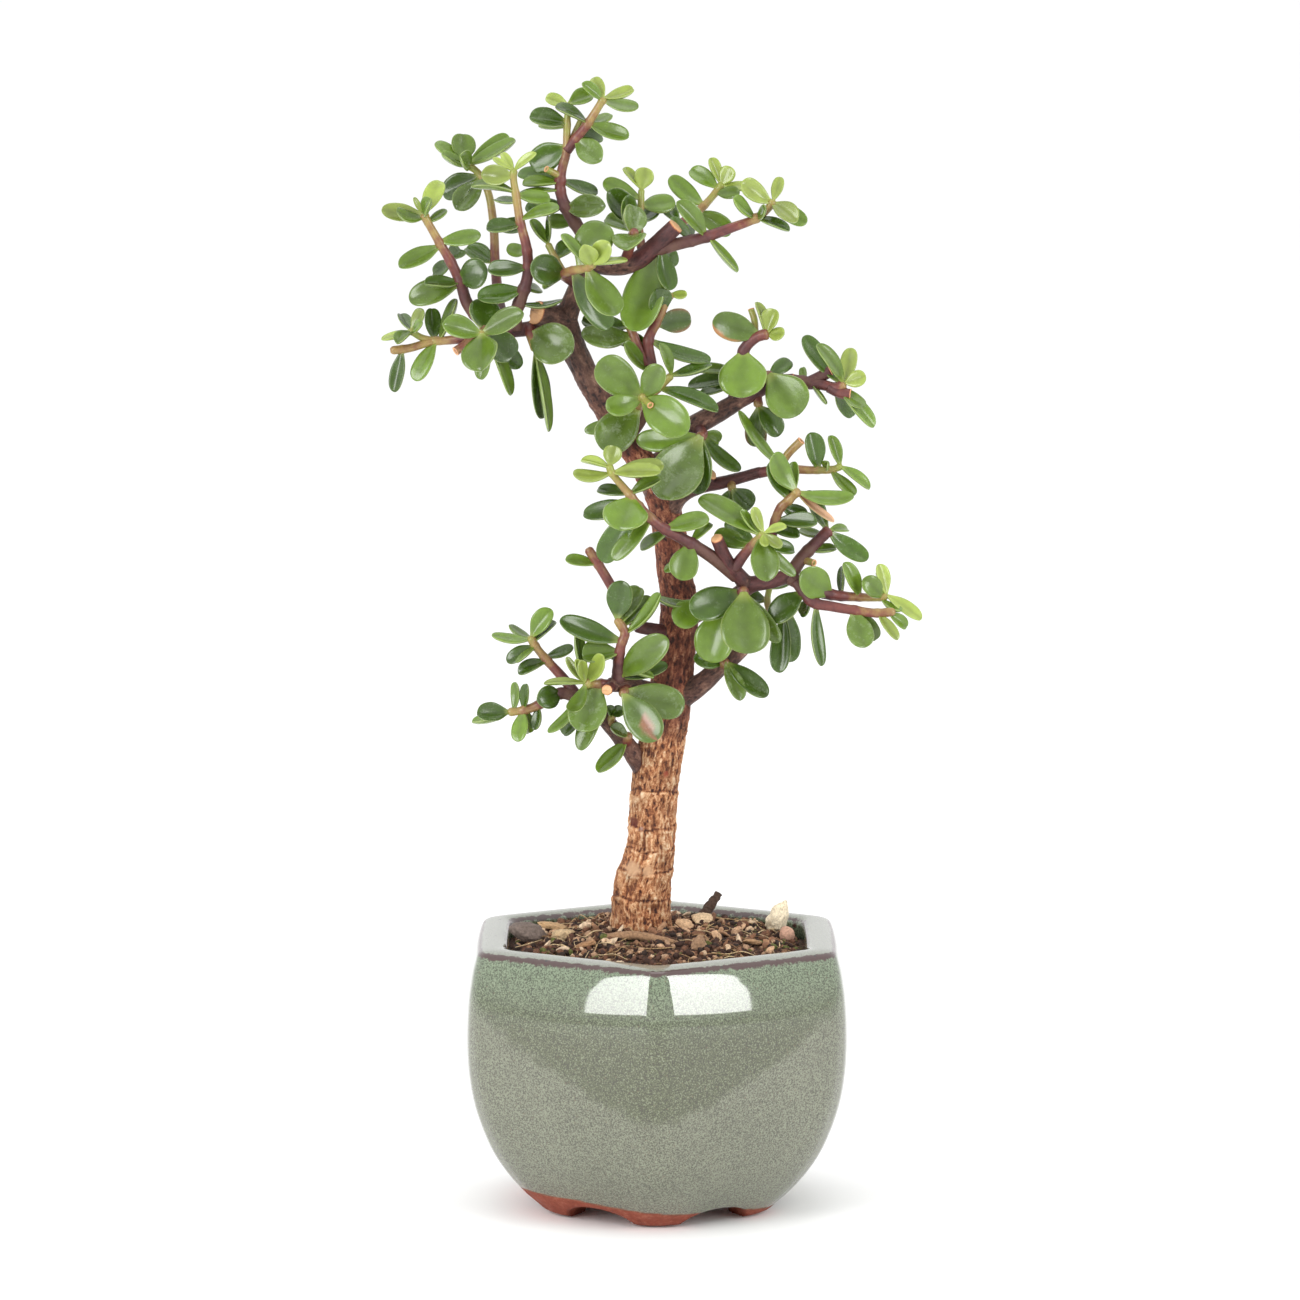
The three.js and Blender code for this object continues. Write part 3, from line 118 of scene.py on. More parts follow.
# ------------------------------------------------------------------ leafy shoots
# name, then twigs; a twig is its route, its first and last radius, and its leaves.
# A leaf: how far along the twig it grows (0 to 1), where its tip is (x, y, z), its width, how
# far its upper face is turned up from facing the front (degrees), and its tone.
SHOOTS = [
  ["crown", [
    [[[-17.6, -1, 263], [-20.8, -0.5, 268], [-24.6, 0, 274], [-26.1, 0, 279], [-25.7, 0, 284],
      [-24.4, 0, 289], [-24.3, 0, 294.5], [-24, 0, 302.3]], 2.0, 0.8, [
      [0.99, -30, 1, 303.7, 3.8, 20, 0], [0.99, -17.5, 3, 304.2, 5.2, 40, 1],
      [0.87, -34.4, -1, 298.4, 6.4, 35, 2], [0.85, -32, 3, 295.8, 4, 100, 1],
      [0.72, -34.2, 4, 285.2, 8, 10, 2], [0.48, -36.3, -2, 280.4, 4.6, 60, 1],
      [0.50, -16, 4, 277.8, 4.6, 55, 2], [0.50, -37.6, 6, 283, 5, 30, 2],
      [0.43, -37.4, -5, 277.6, 3.4, 70, 1], [0.31, -13.8, -7, 275, 6.6, 15, 3],
      [0.33, -35.6, 5, 274, 6, 30, 2], [0.2, -29.5, 6, 270, 4.5, 30, 1]]],
    [[[-24.3, 0, 289.5], [-21.6, -1, 293], [-18.3, -1.5, 297.3], [-14.2, -2, 303.8]], 1.45, 1.0, [
      [0.99, -17.2, 1, 309, 3.8, 15, 0], [0.99, -6.3, 2, 305.8, 4, 50, 0],
      [0.95, -20.2, -4, 307.8, 3.6, 30, 1], [0.95, -5, -4, 301.2, 4.6, 50, 1],
      [0.53, -27.4, -4, 301.4, 5.5, 65, 2], [0.53, -7.6, -4, 293.2, 5, 35, 1],
      [0.5, -12.5, 6, 298.9, 4.5, 60, 1], [0.27, -14.9, 5, 293.2, 5, 20, 2],
      [0.22, -15, -7, 287, 6.8, 10, 3]]],
    [[[-23.6, 0.5, 290.5], [-22.3, 1.5, 293.6], [-20.4, 2, 297.6]], 1.0, 0.95, []],
    [[[-25.9, 0, 282.5], [-28, -1, 283.6], [-29.8, -2, 284.6]], 1.0, 0.9, []]]],
  ["left_mid", [
    [[[-38, -5, 241.5], [-38.2, -6, 245.5], [-36.5, -7, 250.5], [-34.8, -8, 256.5],
      [-35, -9, 263.5], [-36.8, -9, 271], [-37.8, -9, 277.5], [-38.6, -9, 283.5],
      [-38.3, -9, 285]], 1.9, 0.9, [
      [0.99, -44.2, -8, 287.9, 2.4, 40, 0], [0.99, -41.7, -6, 289.2, 2.6, 20, 0],
      [0.99, -32.3, -11, 289.4, 3, 40, 0], [0.96, -47.2, -12, 283.8, 5.8, 5, 0],
      [0.86, -50, -9, 280.2, 4.2, 70, 1], [0.84, -28.8, -3, 276.8, 4.6, 30, 1],
      [0.8, -43.5, -3, 276.5, 4, 60, 2], [0.69, -26.2, -12, 275, 4.6, 60, 1],
      [0.66, -45.8, -11, 269, 5, 45, 2], [0.5, -40.5, -3, 263.5, 4, 30, 1],
      [0.4, -45.4, -13, 258, 5.2, 40, 2], [0.26, -48.3, -10, 250.5, 6.2, 25, 2],
      [0.17, -25.4, -9, 249.8, 3.8, 65, 2], [0.27, -31.5, -1, 252, 4, 50, 1]]]]],
  ["left_back", [
    [[[-41, -3, 242], [-43, 6, 249], [-44, 12, 258], [-44.5, 15, 268], [-46, 17, 277],
      [-48.5, 18, 282], [-53, 18, 285.5]], 1.6, 0.9, [
      [0.98, -60.5, 19, 290.4, 5.2, 50, 1], [0.99, -53, 22, 292.6, 7, 10, 1],
      [0.97, -38.4, 16, 291.2, 6.4, 55, 1], [0.97, -40.5, 22, 292.2, 5, 30, 1],
      [0.95, -53.4, 11, 287.4, 5.6, 40, 1], [0.95, -58.6, 14, 287.6, 5, 60, 1],
      [0.88, -58.3, 19, 276, 7.5, 20, 2], [0.86, -54.8, 12, 272.8, 6.5, 15, 3],
      [0.6, -36, 18, 268, 5, 30, 2], [0.42, -52, 16, 262, 6, 30, 2]]]]],
  ["left_far", [
    [[[-43, -5, 241.3], [-48, -4.5, 244.5], [-51.2, -4, 248.5], [-53, -4, 254],
      [-55.5, -4, 259.5], [-58.7, -4, 265], [-62, -4, 270.8], [-63, -4, 272.8]], 1.9, 1.0, [
      [0.99, -74.2, -5, 273.8, 5.2, 15, 0], [0.97, -70, -9, 273.6, 4.8, 60, 1],
      [0.97, -60.7, -9, 277, 4.8, 60, 1], [0.99, -58.3, 0, 281.2, 5.5, 15, 0],
      [0.99, -65.5, -3, 277.1, 1.8, 20, 0], [0.93, -56.6, -3, 273.6, 4, 50, 1],
      [0.77, -47.4, -6, 267, 5.4, 30, 1], [0.74, -69.5, -6, 258.4, 5.8, 30, 1],
      [0.63, -53.2, 2, 262.6, 5, 20, 2], [0.6, -60.6, 2, 256.2, 4.6, 30, 2],
      [0.44, -66.9, -4, 249.4, 7.5, 20, 1], [0.45, -62.4, -12, 254.3, 5, 50, 2],
      [0.47, -45.6, -8, 258, 8.6, 10, 2], [0.2, -42.6, -1, 250, 5, 40, 2]]]]],
  ["left_low", [
    [[[-46, -5, 240], [-53, -4, 238.9], [-60, -3, 238.3], [-64, -3, 239.3], [-66.8, -3, 241.3]],
      1.6, 0.8, [
      [0.98, -74.4, -5, 238.7, 3.4, 50, 0], [0.98, -63.2, -4, 247, 3.8, 40, 0],
      [0.97, -69.5, 3, 245, 4, 40, 2], [0.95, -70.2, -8, 237.9, 4, 60, 1],
      [0.95, -63.2, -9, 243.9, 3.2, 60, 1], [0.66, -61, 2, 246.6, 4.8, 15, 2],
      [0.6, -54, -3, 249.6, 4.6, 60, 1], [0.64, -65.4, -6, 227.7, 5.5, 35, 1]]],
    [[[-60.5, -3, 238.3], [-66.8, -4, 236.4], [-72, -5, 235.8]], 1.1, 1.2, [
      [0.72, -70.9, -6, 224.6, 4.6, 25, 2]]],
    [[[-49, -4.6, 239.5], [-52, -6, 237.3], [-54.3, -7, 235.8]], 1.3, 1.25, []]]],
  ["left_front", [
    [[[-45.5, -6, 241.5], [-46.5, -11, 241.5], [-47, -17, 241.2]], 1.5, 0.9, [
      [0.9, -57.4, -21, 244.4, 6.4, 30, 1], [0.9, -35.6, -21, 247.3, 6.8, 30, 1],
      [0.95, -47, -24, 232, 10.8, 15, 1], [0.45, -46.5, -5, 249.6, 9, 15, 2],
      [0.4, -38.6, -10, 234.4, 8.5, 10, 2], [0.3, -36.8, -4, 231.2, 6, 20, 2],
      [0.35, -39.4, -7, 223.8, 5, 55, 1], [0.4, -47.5, -9, 228.3, 5, 30, 1]]]]],
  ["left_hanging", [
    [[[-34.3, -5, 242], [-34, -8.5, 240], [-32.8, -9, 236]], 1.5, 1.0, [
      [0.4, -22.6, -14, 236.2, 11.8, 5, 3], [0.98, -31, -6, 217.4, 6.5, 30, 2],
      [0.98, -29.3, -11, 214.3, 5.6, 60, 1]]]]],
  ["front_top", [
    [[[-21.5, -2.5, 253.5], [-25, -8.5, 256.5], [-22.5, -15, 258.3], [-18.5, -19, 259.3],
      [-17, -21, 260.6]], 1.5, 1.0, [
      [0.98, -19.5, -25, 266, 5.2, 5, 0], [0.98, -12.8, -25, 266.7, 6, 10, 0],
      [0.98, -7.8, -22, 261.5, 5, 75, 0], [0.9, -25.6, -18, 268.2, 4.2, 55, 1],
      [0.86, -10.8, -24, 247, 9, 25, 1], [0.74, -14, -14, 271, 11, 20, 1],
      [0.36, -34, -14, 259.5, 8.6, 5, 2], [0.3, -30.6, -7, 252.6, 6, 100, 1],
      [0.62, -12.8, -9, 242, 7.5, 20, 2]]],
    [[[-25, -8.5, 256.8], [-27.5, -6, 261], [-29.5, -5, 264.8]], 1.1, 0.9, [
      [0.98, -34.2, -3, 271, 4, 50, 1], [0.98, -29.2, -6, 272.3, 4.2, 65, 2],
      [0.5, -23, 0, 264, 5, 40, 2]]]]],
  ["top_dark", [
    [[[-8.5, -4, 260.5], [-7, -9, 265], [-6, -14, 268.9]], 1.4, 1.3, [
      [0.82, -6.6, -9, 275.3, 8.6, 35, 3], [0.8, -8, -22, 264.3, 9.5, 30, 3]]]]],
  ["top_cluster", [
    [[[-4, -4, 262], [-4.8, 0, 268], [-4.4, 2, 274], [-4.2, 3, 279]], 1.3, 0.8, [
      [0.98, -9.1, 6, 284.4, 3, 45, 0], [0.98, -3, 3, 284.7, 5.5, 10, 0],
      [0.85, -14.6, 2, 280.9, 5.6, 40, 1], [0.75, 4.9, 6, 275.3, 6.2, 35, 1],
      [0.5, -13.4, -3, 278.6, 7.6, 15, 2], [0.2, -8.2, -7, 277.8, 6, 35, 2],
      [0.5, 0.2, 8, 274.5, 5, 40, 2], [0.35, -14, 6, 270.6, 5, 40, 1]]]]],
  ["right_back", [
    [[[2.6, -4.5, 266.4], [7, 5, 269.8], [12.5, 8, 273.8], [16.2, 10, 277.8], [17.8, 10, 280]],
      1.5, 0.9, [
      [0.98, 14.4, 11, 286.8, 3.6, 40, 0], [0.98, 20.2, 10, 284.4, 5, 20, 0],
      [0.98, 26.6, 9, 278.6, 3.6, 50, 0], [0.93, 9, 13, 283.4, 5, 25, 1],
      [0.88, 22.4, 5, 277.6, 4, 40, 1], [0.7, 3.4, 11, 281.6, 5.8, 30, 1],
      [0.6, 20.2, 10, 266.6, 6.5, 25, 1], [0.35, 0.4, 12, 275.6, 5, 30, 2],
      [0.38, 10, 14, 265.6, 4.5, 40, 2]]]]],
  ["right_top", [
    [[[-1.5, -5, 263], [5, -5, 264.5], [13, -4, 266.4], [20, -3, 268.8], [27, -2, 271.5],
      [30.5, -1, 274.5], [31.5, -1, 276.3]], 1.9, 1.0, [
      [0.97, 22.7, -4, 281.2, 5.8, 30, 0], [0.99, 33.4, 2, 282.2, 3.6, 30, 0],
      [0.97, 37.7, -6, 270.6, 5.6, 30, 0], [0.98, 40.4, 0, 269.8, 5, 20, 1],
      [0.8, 20.6, -6, 277.2, 4.6, 55, 1], [0.81, 29.2, -7, 274.4, 4, 50, 1],
      [0.81, 35.7, -4, 268, 4.8, 55, 2], [0.41, 5.3, -8, 276.3, 5.4, 30, 1],
      [0.43, 21.6, -7, 257.1, 4.8, 60, 1], [0.07, 3.6, -9, 252.4, 5.8, 25, 2],
      [0.12, 4.6, 0, 258, 5, 30, 2], [0.3, 4.4, 1, 271.6, 4.5, 45, 2],
      [0.04, -6.6, -11, 241.6, 11.3, 5, 1]]]]],
  ["mid_right_top", [
    [[[-8.5, -1, 211.5], [-4.5, -3, 217], [-2.5, -5, 224], [-1.5, -5, 231], [-2.3, -5, 238.5],
      [0, -5, 243.7], [2.3, -5, 248.7], [3.8, -5, 251.5]], 2.0, 1.1, [
      [0.86, -0.3, -8, 252.8, 7.6, 20, 2], [0.97, -6.4, -3, 254, 3.4, 60, 1],
      [0.99, -2.6, -4, 255.1, 2.4, 30, 0], [0.99, 8.1, -6, 250.9, 3, 40, 0],
      [0.78, 9.2, -3, 244.3, 6.6, 10, 5], [0.68, 14.5, -6, 233, 5.8, 50, 2],
      [0.66, -10.5, 0, 238.6, 5, 30, 2], [0.47, -8.8, -10, 238.3, 4.8, 45, 1]]],
    [[[-2.5, -5, 232], [-6, -4, 239], [-7.5, -3, 242.6]], 1.3, 1.2, [
      [0.7, -20.4, -7, 240.3, 8, 35, 3], [0.95, -20.3, 4, 243.4, 5.5, 30, 2]]],
    [[[-2.5, -5, 222.5], [0, -8, 225.5], [4, -9, 229.6]], 1.2, 1.0, [
      [0.98, 0.6, -12, 238.3, 4.4, 45, 1], [0.98, 14.8, -8, 232.2, 5.4, 60, 2],
      [0.5, 16.4, -13, 220, 6, 45, 2]]]]],
  ["mid_front", [
    [[[-6.5, 0, 213.5], [-5.5, -9, 219.5], [-4, -18, 224], [-3.8, -21, 225]], 1.4, 1.0, [
      [0.88, -15.6, -20, 234.5, 10, 10, 1], [0.93, 1.2, -24, 233.5, 7, 20, 1],
      [0.9, -13.6, -25, 222, 6.3, 25, 1], [0.9, 8.3, -27, 216, 10.6, 5, 1],
      [0.6, -15, -19, 210.6, 11, 15, 3], [0.4, -19.6, -6, 214, 4, 40, 1]]],
    [[[-3.8, -19.5, 224.4], [-1.8, -23, 222.8]], 0.9, 0.9, []]]],
  ["mid_dusty", [
    [[[11.5, 0, 214], [12.3, -4, 213], [11.6, -8, 212.6]], 1.6, 1.2, [
      [0.95, 0.6, -20, 197.4, 14, 5, 3], [0.9, 11.2, -10, 197.3, 8.5, 20, 2],
      [0.8, -5.6, -13, 212, 7, 25, 1], [0.4, 16.8, 0, 210.3, 5, 20, 1],
      [0.6, 22.4, -8, 203.4, 5.6, 50, 2]]]]],
  ["right_pair", [
    [[[21, 1, 221.5], [22.5, -1, 230], [23.7, -2, 236], [27, -2.5, 239.2], [30.3, -3, 240.3]],
      2.0, 1.3, [
      [0.9, 15, -4, 243.8, 8, 10, 6], [0.95, 26.6, -1, 248.6, 3.5, 45, 0],
      [0.97, 31.8, -2, 246.8, 5, 20, 0], [0.98, 34.4, -5, 240.2, 4.6, 30, 0],
      [0.62, 23, -9, 223.4, 13.5, 5, 1], [0.3, 8.4, 3, 225.3, 5.5, 40, 2],
      [0.36, 10.8, 6, 229.6, 4, 60, 1], [0.22, 11.6, -3, 223.8, 3.5, 65, 2]]],
    [[[26.5, -2.4, 239], [26.4, 0, 243.5], [25.5, 1, 246.4]], 1.0, 0.9, []]]],
  ["right_round", [
    [[[30, 0, 226.5], [30.2, -3.5, 229.5]], 1.5, 1.3, [
      [0.9, 38.6, -6, 218.6, 12, 10, 1], [0.7, 36.2, 3, 232.4, 4.5, 15, 2]]]]],
  ["right_under", [
    [[[27, 0, 224], [27.6, -1, 220]], 1.4, 1.2, [
      [0.9, 33, -2, 212.2, 6.5, 20, 2], [0.9, 27.3, 5, 208.6, 6.5, 15, 5]]]]],
  ["right_end", [
    [[[36.5, -1, 227.2], [44, -2, 226.4], [49, -3, 225.6], [50.8, -3, 226.8]], 1.9, 1.2, [
      [0.95, 39.7, 1, 239.2, 5.5, 30, 2], [0.97, 43, -6, 237.5, 5.6, 45, 1],
      [0.99, 52.6, 2, 235.9, 5, 15, 0], [0.99, 56.5, -4, 228.8, 5, 25, 0],
      [0.9, 56, -7, 220.6, 4.6, 30, 1], [0.85, 58.6, -4, 214.8, 5, 50, 1],
      [0.8, 53, 3, 217, 4.5, 25, 2], [0.35, 45.7, -6, 221.3, 3, 70, 1],
      [0.2, 39.6, 3, 230.5, 2.4, 40, 1]]],
    [[[46.5, -2.6, 225.6], [49.5, -3.5, 224.2], [52.3, -4, 223.9]], 1.5, 1.45, []],
    [[[41, -1.5, 226.8], [44, -1, 228.2], [47, -1, 229.8]], 1.6, 1.6, []]]],
  ["right_mid", [
    [[[27.5, -2, 202.2], [34, -2, 203.3], [42, -2, 203], [48, -2, 203.3], [50.3, -2, 204.3]],
      1.5, 0.9, [
      [0.7, 41.6, -2, 213.3, 5.8, 20, 2], [0.97, 46.7, 0, 212.2, 4.2, 35, 1],
      [0.97, 57.6, -3, 197.8, 4.4, 45, 1], [0.85, 53.5, -6, 196.5, 4.5, 55, 1],
      [0.8, 46.2, -5, 205.6, 3, 50, 1], [0.3, 22, -5, 219.4, 5, 50, 1]]],
    [[[33, -2, 203.3], [35.5, -3, 207.5], [39, -4, 211.2]], 1.1, 1.15, []]]],
  ["right_low", [
    [[[20, -1, 200.2], [20.4, -3.5, 197.8]], 1.3, 1.1, [
      [0.9, 25.4, -3, 192.6, 6.5, 25, 2], [0.9, 18, 2, 190.5, 5, 30, 2]]]]],
  ["right_upper", [
    [[[30.5, -12, 173.5], [30.6, -11.5, 183], [33, -12, 193.3], [36, -13, 196.5],
      [38.3, -14, 199]], 1.6, 1.1, [
      [0.97, 31.2, -18, 209.2, 6.6, 30, 1], [0.85, 30.6, -11, 206.3, 5.5, 25, 2],
      [0.85, 37, -8, 206, 4.5, 30, 1], [0.75, 40.6, -10, 191.4, 4.5, 20, 2],
      [0.97, 53, -16, 197.2, 5.5, 45, 1], [0.96, 47.8, -12, 190, 2.5, 40, 4],
      [0.6, 43.2, -16, 190.2, 5, 45, 2], [0.5, 38.5, -14, 186.4, 4, 45, 2]]]]],
  ["front_cross", [
    [[[21.4, -13.6, 175.6], [14, -19.5, 182], [6, -23, 187.3], [0, -25, 191], [-4, -25, 194.9],
      [-8, -24.5, 199.7], [-12.3, -24, 205], [-12.8, -24, 207]], 2.0, 0.9, [
      [0.99, -11.3, -22, 211.7, 5.2, 10, 0], [0.98, -20.5, -21, 207.6, 3.6, 60, 0],
      [0.95, -22.5, -26, 204.6, 4.8, 60, 0], [0.95, 1, -28, 205.3, 5.6, 45, 0],
      [0.95, 1.8, -20, 206.4, 5.5, 25, 0], [0.8, 1, -25, 203, 4.5, 55, 1],
      [0.78, -9.8, -31, 190, 12.5, 10, 1], [0.72, -19.8, -18, 193, 6, 25, 2],
      [0.8, -16, -19, 199.6, 4, 40, 2], [0.62, -11.8, -27, 181.6, 5.2, 35, 1],
      [0.64, -6, -20, 188.2, 4, 70, 1], [0.53, 14, -24, 192.4, 6, 40, 1],
      [0.5, -4.5, -17, 183.5, 4, 40, 1], [0.36, 6.2, -26, 176, 8, 10, 1],
      [0.36, 14.8, -18, 190.2, 3.4, 40, 1], [0.33, 2, -19, 177.4, 3.5, 45, 3],
      [0.72, -14.8, -21, 180.4, 7.2, 15, 2]]]]],
  ["front_lime", [
    [[[20.8, -16, 178], [24, -18.4, 182.7], [27.5, -21, 186.8], [28.8, -22, 188.3]], 1.7, 0.9, [
      [0.98, 25.7, -22, 195.2, 3.2, 35, 0], [0.98, 34.8, -22, 190, 2.8, 50, 0],
      [0.98, 33.3, -26, 184.7, 3.4, 30, 0], [0.98, 28.9, -27, 185.2, 2.6, 30, 0],
      [0.93, 22.3, -22, 194.4, 3.6, 50, 1], [0.91, 11.2, -17, 197, 7, 30, 1],
      [0.88, 29.6, -27, 175.8, 7.8, 8, 1], [0.85, 37.2, -20, 176.4, 4, 50, 1],
      [0.55, 15.8, -12, 187.4, 5.5, 25, 1], [0.7, 18.6, -11, 190, 4.5, 30, 2],
      [0.75, 37, -15, 182.6, 5, 40, 2]]]]],
  ["right_red", [
    [[[36, -11.5, 175.4], [39, -10, 179.8], [43, -9, 184], [46.8, -9, 187.8]], 2.0, 1.4, [
      [0.95, 57, -10, 179.5, 5.8, 30, 2], [0.97, 51.8, -4, 187, 3.2, 50, 1],
      [0.95, 40.3, -8, 198, 5.5, 35, 2], [0.5, 48.6, -6, 182, 3.6, 55, 1],
      [0.85, 38.6, -3, 186.8, 4, 60, 1]]],
    [[[39.3, -10, 179.5], [42.4, -12.5, 178.9]], 1.1, 1.0, []]]],
  ["right_far", [
    [[[35.6, -11.5, 175], [42, -12, 171.6], [48, -11, 170], [55, -10, 169.3], [61, -10, 169.3],
      [62.3, -10, 170]], 2.0, 0.9, [
      [0.99, 59.8, -10, 178.3, 4.8, 40, 0], [0.99, 71.5, -12, 163.4, 4.8, 40, 0],
      [0.97, 59.6, -5, 175.3, 3.5, 50, 1], [0.95, 55.6, -14, 174.8, 5.6, 25, 1],
      [0.93, 66, -14, 166, 3, 70, 1], [0.73, 50.4, -12, 179, 5, 35, 1],
      [0.55, 50.3, -6, 177.4, 3.2, 60, 2], [0.45, 38.6, -18, 177, 8.8, 8, 1]]]]],
  ["right_lowest", [
    [[[37.5, -12.5, 174], [42, -14.5, 168.6], [47, -14.5, 167.4], [53, -14, 166.3],
      [59, -14, 165.5], [64.4, -14, 165.9]], 1.6, 1.15, [
      [0.62, 56, -19, 156.7, 7.5, 10, 3], [0.65, 59.4, -12, 158, 5, 15, 1],
      [0.84, 64.9, -17, 158.5, 3.8, 40, 0], [0.93, 67.5, -12, 161.2, 3.6, 30, 1],
      [0.28, 44.3, -17, 151.4, 5, 45, 2], [0.22, 38.8, -8, 164.4, 4, 50, 2],
      [0.12, 30.8, -15, 163.4, 8, 30, 2]]]]],
  ["front_big", [
    [[[22, -11, 170], [23.2, -15, 171.6], [23.4, -17.5, 171.4]], 1.7, 1.3, [
      [0.92, 24, -24, 155.8, 14, 5, 1], [0.5, 9, -20, 166.6, 9.5, 15, 2],
      [0.8, 33, -18, 158, 5, 15, 3]]]]],
  ["front_round", [
    [[[12, -3.5, 164.8], [11.5, -8.5, 168.3]], 1.5, 1.2, [
      [0.92, 5.1, -14, 162.3, 8, 10, 1], [0.88, 0, -15, 169.6, 3.8, 65, 1]]]]],
  ["front_oval", [
    [[[17.5, -7.5, 167], [17.4, -10.5, 166]], 1.4, 1.2, [
      [0.85, 14.8, -13, 151.8, 11.5, 12, 1]]]]],
  ["low_right", [
    [[[28, -7, 160], [33, -7, 164], [36.4, -7, 165.2]], 1.8, 1.1, [
      [0.8, 33.2, -10, 148.6, 6, 25, 2], [0.95, 36.2, -5, 150.8, 7, 20, 2]]],
    [[[31.5, -7, 163], [30, -3, 167], [30.6, 0, 170.6]], 1.1, 0.8, [
      [0.97, 37.4, 4, 173.8, 4.5, 40, 2], [0.6, 24, 4, 167, 5, 30, 2],
      [0.97, 27, 6, 178, 4.6, 30, 1]]]]],
  ["low_branch", [
    [[[18, -4.6, 150], [18.6, -8.4, 151.4]], 1.5, 1.2, [
      [0.85, 22.6, -13, 141.4, 5.6, 30, 3], [0.88, 30, -10, 142.2, 6.8, 30, 2],
      [0.4, 9.9, -9, 152.6, 5, 20, 2]]]]],
  ["left_up", [
    [[[-10.5, -11.5, 145.6], [-10.5, -13, 151], [-9.7, -14, 156.8], [-8.7, -14, 160],
      [-11, -14, 164]], 1.7, 1.1, [
      [0.64, -26.3, -17, 163.9, 7, 30, 2], [0.98, -9.4, -15, 174.5, 7.4, 10, 2],
      [0.75, 1, -19, 171.4, 4.5, 60, 1], [0.12, 3, -20, 159.4, 8.5, 25, 1],
      [0.1, 2.9, -8, 150.4, 4.5, 40, 2], [0.2, -0.8, -12, 147.6, 4, 80, 1],
      [0.9, -4.6, -7, 171.6, 5.5, 20, 3], [0.85, -1.4, -4, 168.4, 5, 30, 1],
      [0.48, -20.2, -15, 153.6, 7, 50, 1], [0.35, -12.8, -8, 153.6, 4, 40, 1]]]]],
  ["left_tan", [
    [[[-5, -5.6, 160.5], [-9, -7.5, 165], [-12, -9, 171.5], [-15.5, -9, 177.5],
      [-18.8, -9, 182.6]], 1.5, 1.3, [
      [0.8, -24.8, -10, 179.6, 3.8, 50, 1]]]]],
  ["left_lime", [
    [[[-12.6, -13, 145.8], [-17, -15, 146.3], [-19.5, -17, 146.8]], 1.5, 1.0, [
      [0.98, -24.5, -17, 153.9, 2.6, 40, 0], [0.98, -22, -20, 153.7, 3, 40, 0],
      [0.98, -20.6, -22, 153.8, 3, 35, 0], [0.98, -30.6, -18, 146.7, 3.2, 60, 0],
      [0.95, -14.4, -20, 154.8, 5.5, 35, 0], [0.95, -23.4, -25, 140.1, 4.5, 30, 1],
      [0.9, -29.4, -18, 133.4, 4, 60, 1], [0.4, -21, -21, 134.3, 10.5, 8, 3],
      [0.3, -21, -14, 128, 6.5, 20, 3], [0.35, -25.4, -11, 131.8, 6, 20, 2],
      [0.85, -21.6, -12, 161.3, 3.6, 50, 1]]]]],
  ["left_scarred", [
    [[[-8.5, -11, 144.6], [-9.3, -16, 143.6]], 1.4, 1.2, [
      [0.9, 0.2, -22, 132, 9.5, 8, 7], [0.5, 7.4, -12, 139.4, 9.5, 8, 3]]]]],
  ["low_left", [
    [[[-8.4, -5, 128.4], [-7.8, -9, 131.6]], 1.5, 1.2, [
      [0.85, -12.6, -13, 134.2, 4, 45, 3], [0.4, -16, -11, 121.4, 5.8, 35, 1]]]]],
  ["low_left_bud", [
    [[[-12.9, -8, 134], [-12, -11, 137.4]], 1.2, 1.0, [
      [0.9, -8.6, -12, 138.8, 3.4, 30, 2], [0.9, -13.6, -13, 140, 3, 30, 2]]]]],
  ["left_reach", [
    [[[-20.5, -10, 141.5], [-26, -10, 143], [-31, -10, 140.3], [-36, -10, 138.4],
      [-40.5, -10, 137.8]], 1.8, 1.0, [
      [0.98, -48.8, -13, 137.6, 6, 30, 2], [0.98, -50.3, -8, 134.7, 5, 75, 1],
      [0.93, -38.4, -9, 146, 3.4, 45, 1], [0.8, -35.2, -12, 145.9, 3.6, 40, 2],
      [0.8, -37.7, -14, 130.3, 5, 25, 1], [0.76, -34.8, -6, 131.5, 3.5, 30, 1],
      [0.6, -33, -12, 133.2, 3.6, 50, 2], [0.28, -32.5, -16, 141.8, 6.6, 10, 2]]]]],
  ["left_rise", [
    [[[-21.5, -9.5, 142], [-26, -8.5, 147.6], [-30.5, -8, 152.5], [-33.5, -8, 156.5],
      [-34.3, -8, 158.5]], 1.6, 1.0, [
      [0.97, -28.6, -8, 165.8, 5.5, 25, 1], [0.95, -44.8, -10, 158.8, 4.4, 60, 1],
      [0.97, -40, -4, 161, 4, 60, 1], [0.9, -27.3, -6, 162, 3.8, 45, 2],
      [0.85, -40.7, -9, 151.4, 4.6, 30, 2], [0.85, -38, -13, 151.8, 3, 60, 1],
      [0.6, -37.6, -10, 148.3, 4.2, 45, 2], [0.66, -22.8, -5, 155.2, 3.8, 50, 2]]]]]
]

GREEN_STEM, WOODY_STEM = 0.85, 1.75        # radius at which a stem is wholly green or woody
TONES = {                                  # leaf tone: upper colour, how dusty
    0: ((134, 150, 66), 0.05),             # young lime
    1: ((92, 118, 34), 0.12),              # mid green
    2: ((60, 86, 16), 0.2),                # old dark green
    3: ((82, 104, 36), 0.75),              # old and dusty
    4: ((168, 120, 84), 0.3),              # dried out
    5: ((70, 92, 34), 0.4),                # brown-edged
    6: ((76, 98, 32), 0.15),               # one edge dried out
    7: ((84, 108, 42), 0.4),               # with a tan scar
}
LARGE_LEAF = 8.0                           # width over which a leaf is flatter
SCORCHED_SIDE = -1                         # which edge of the tone 6 leaf has dried out


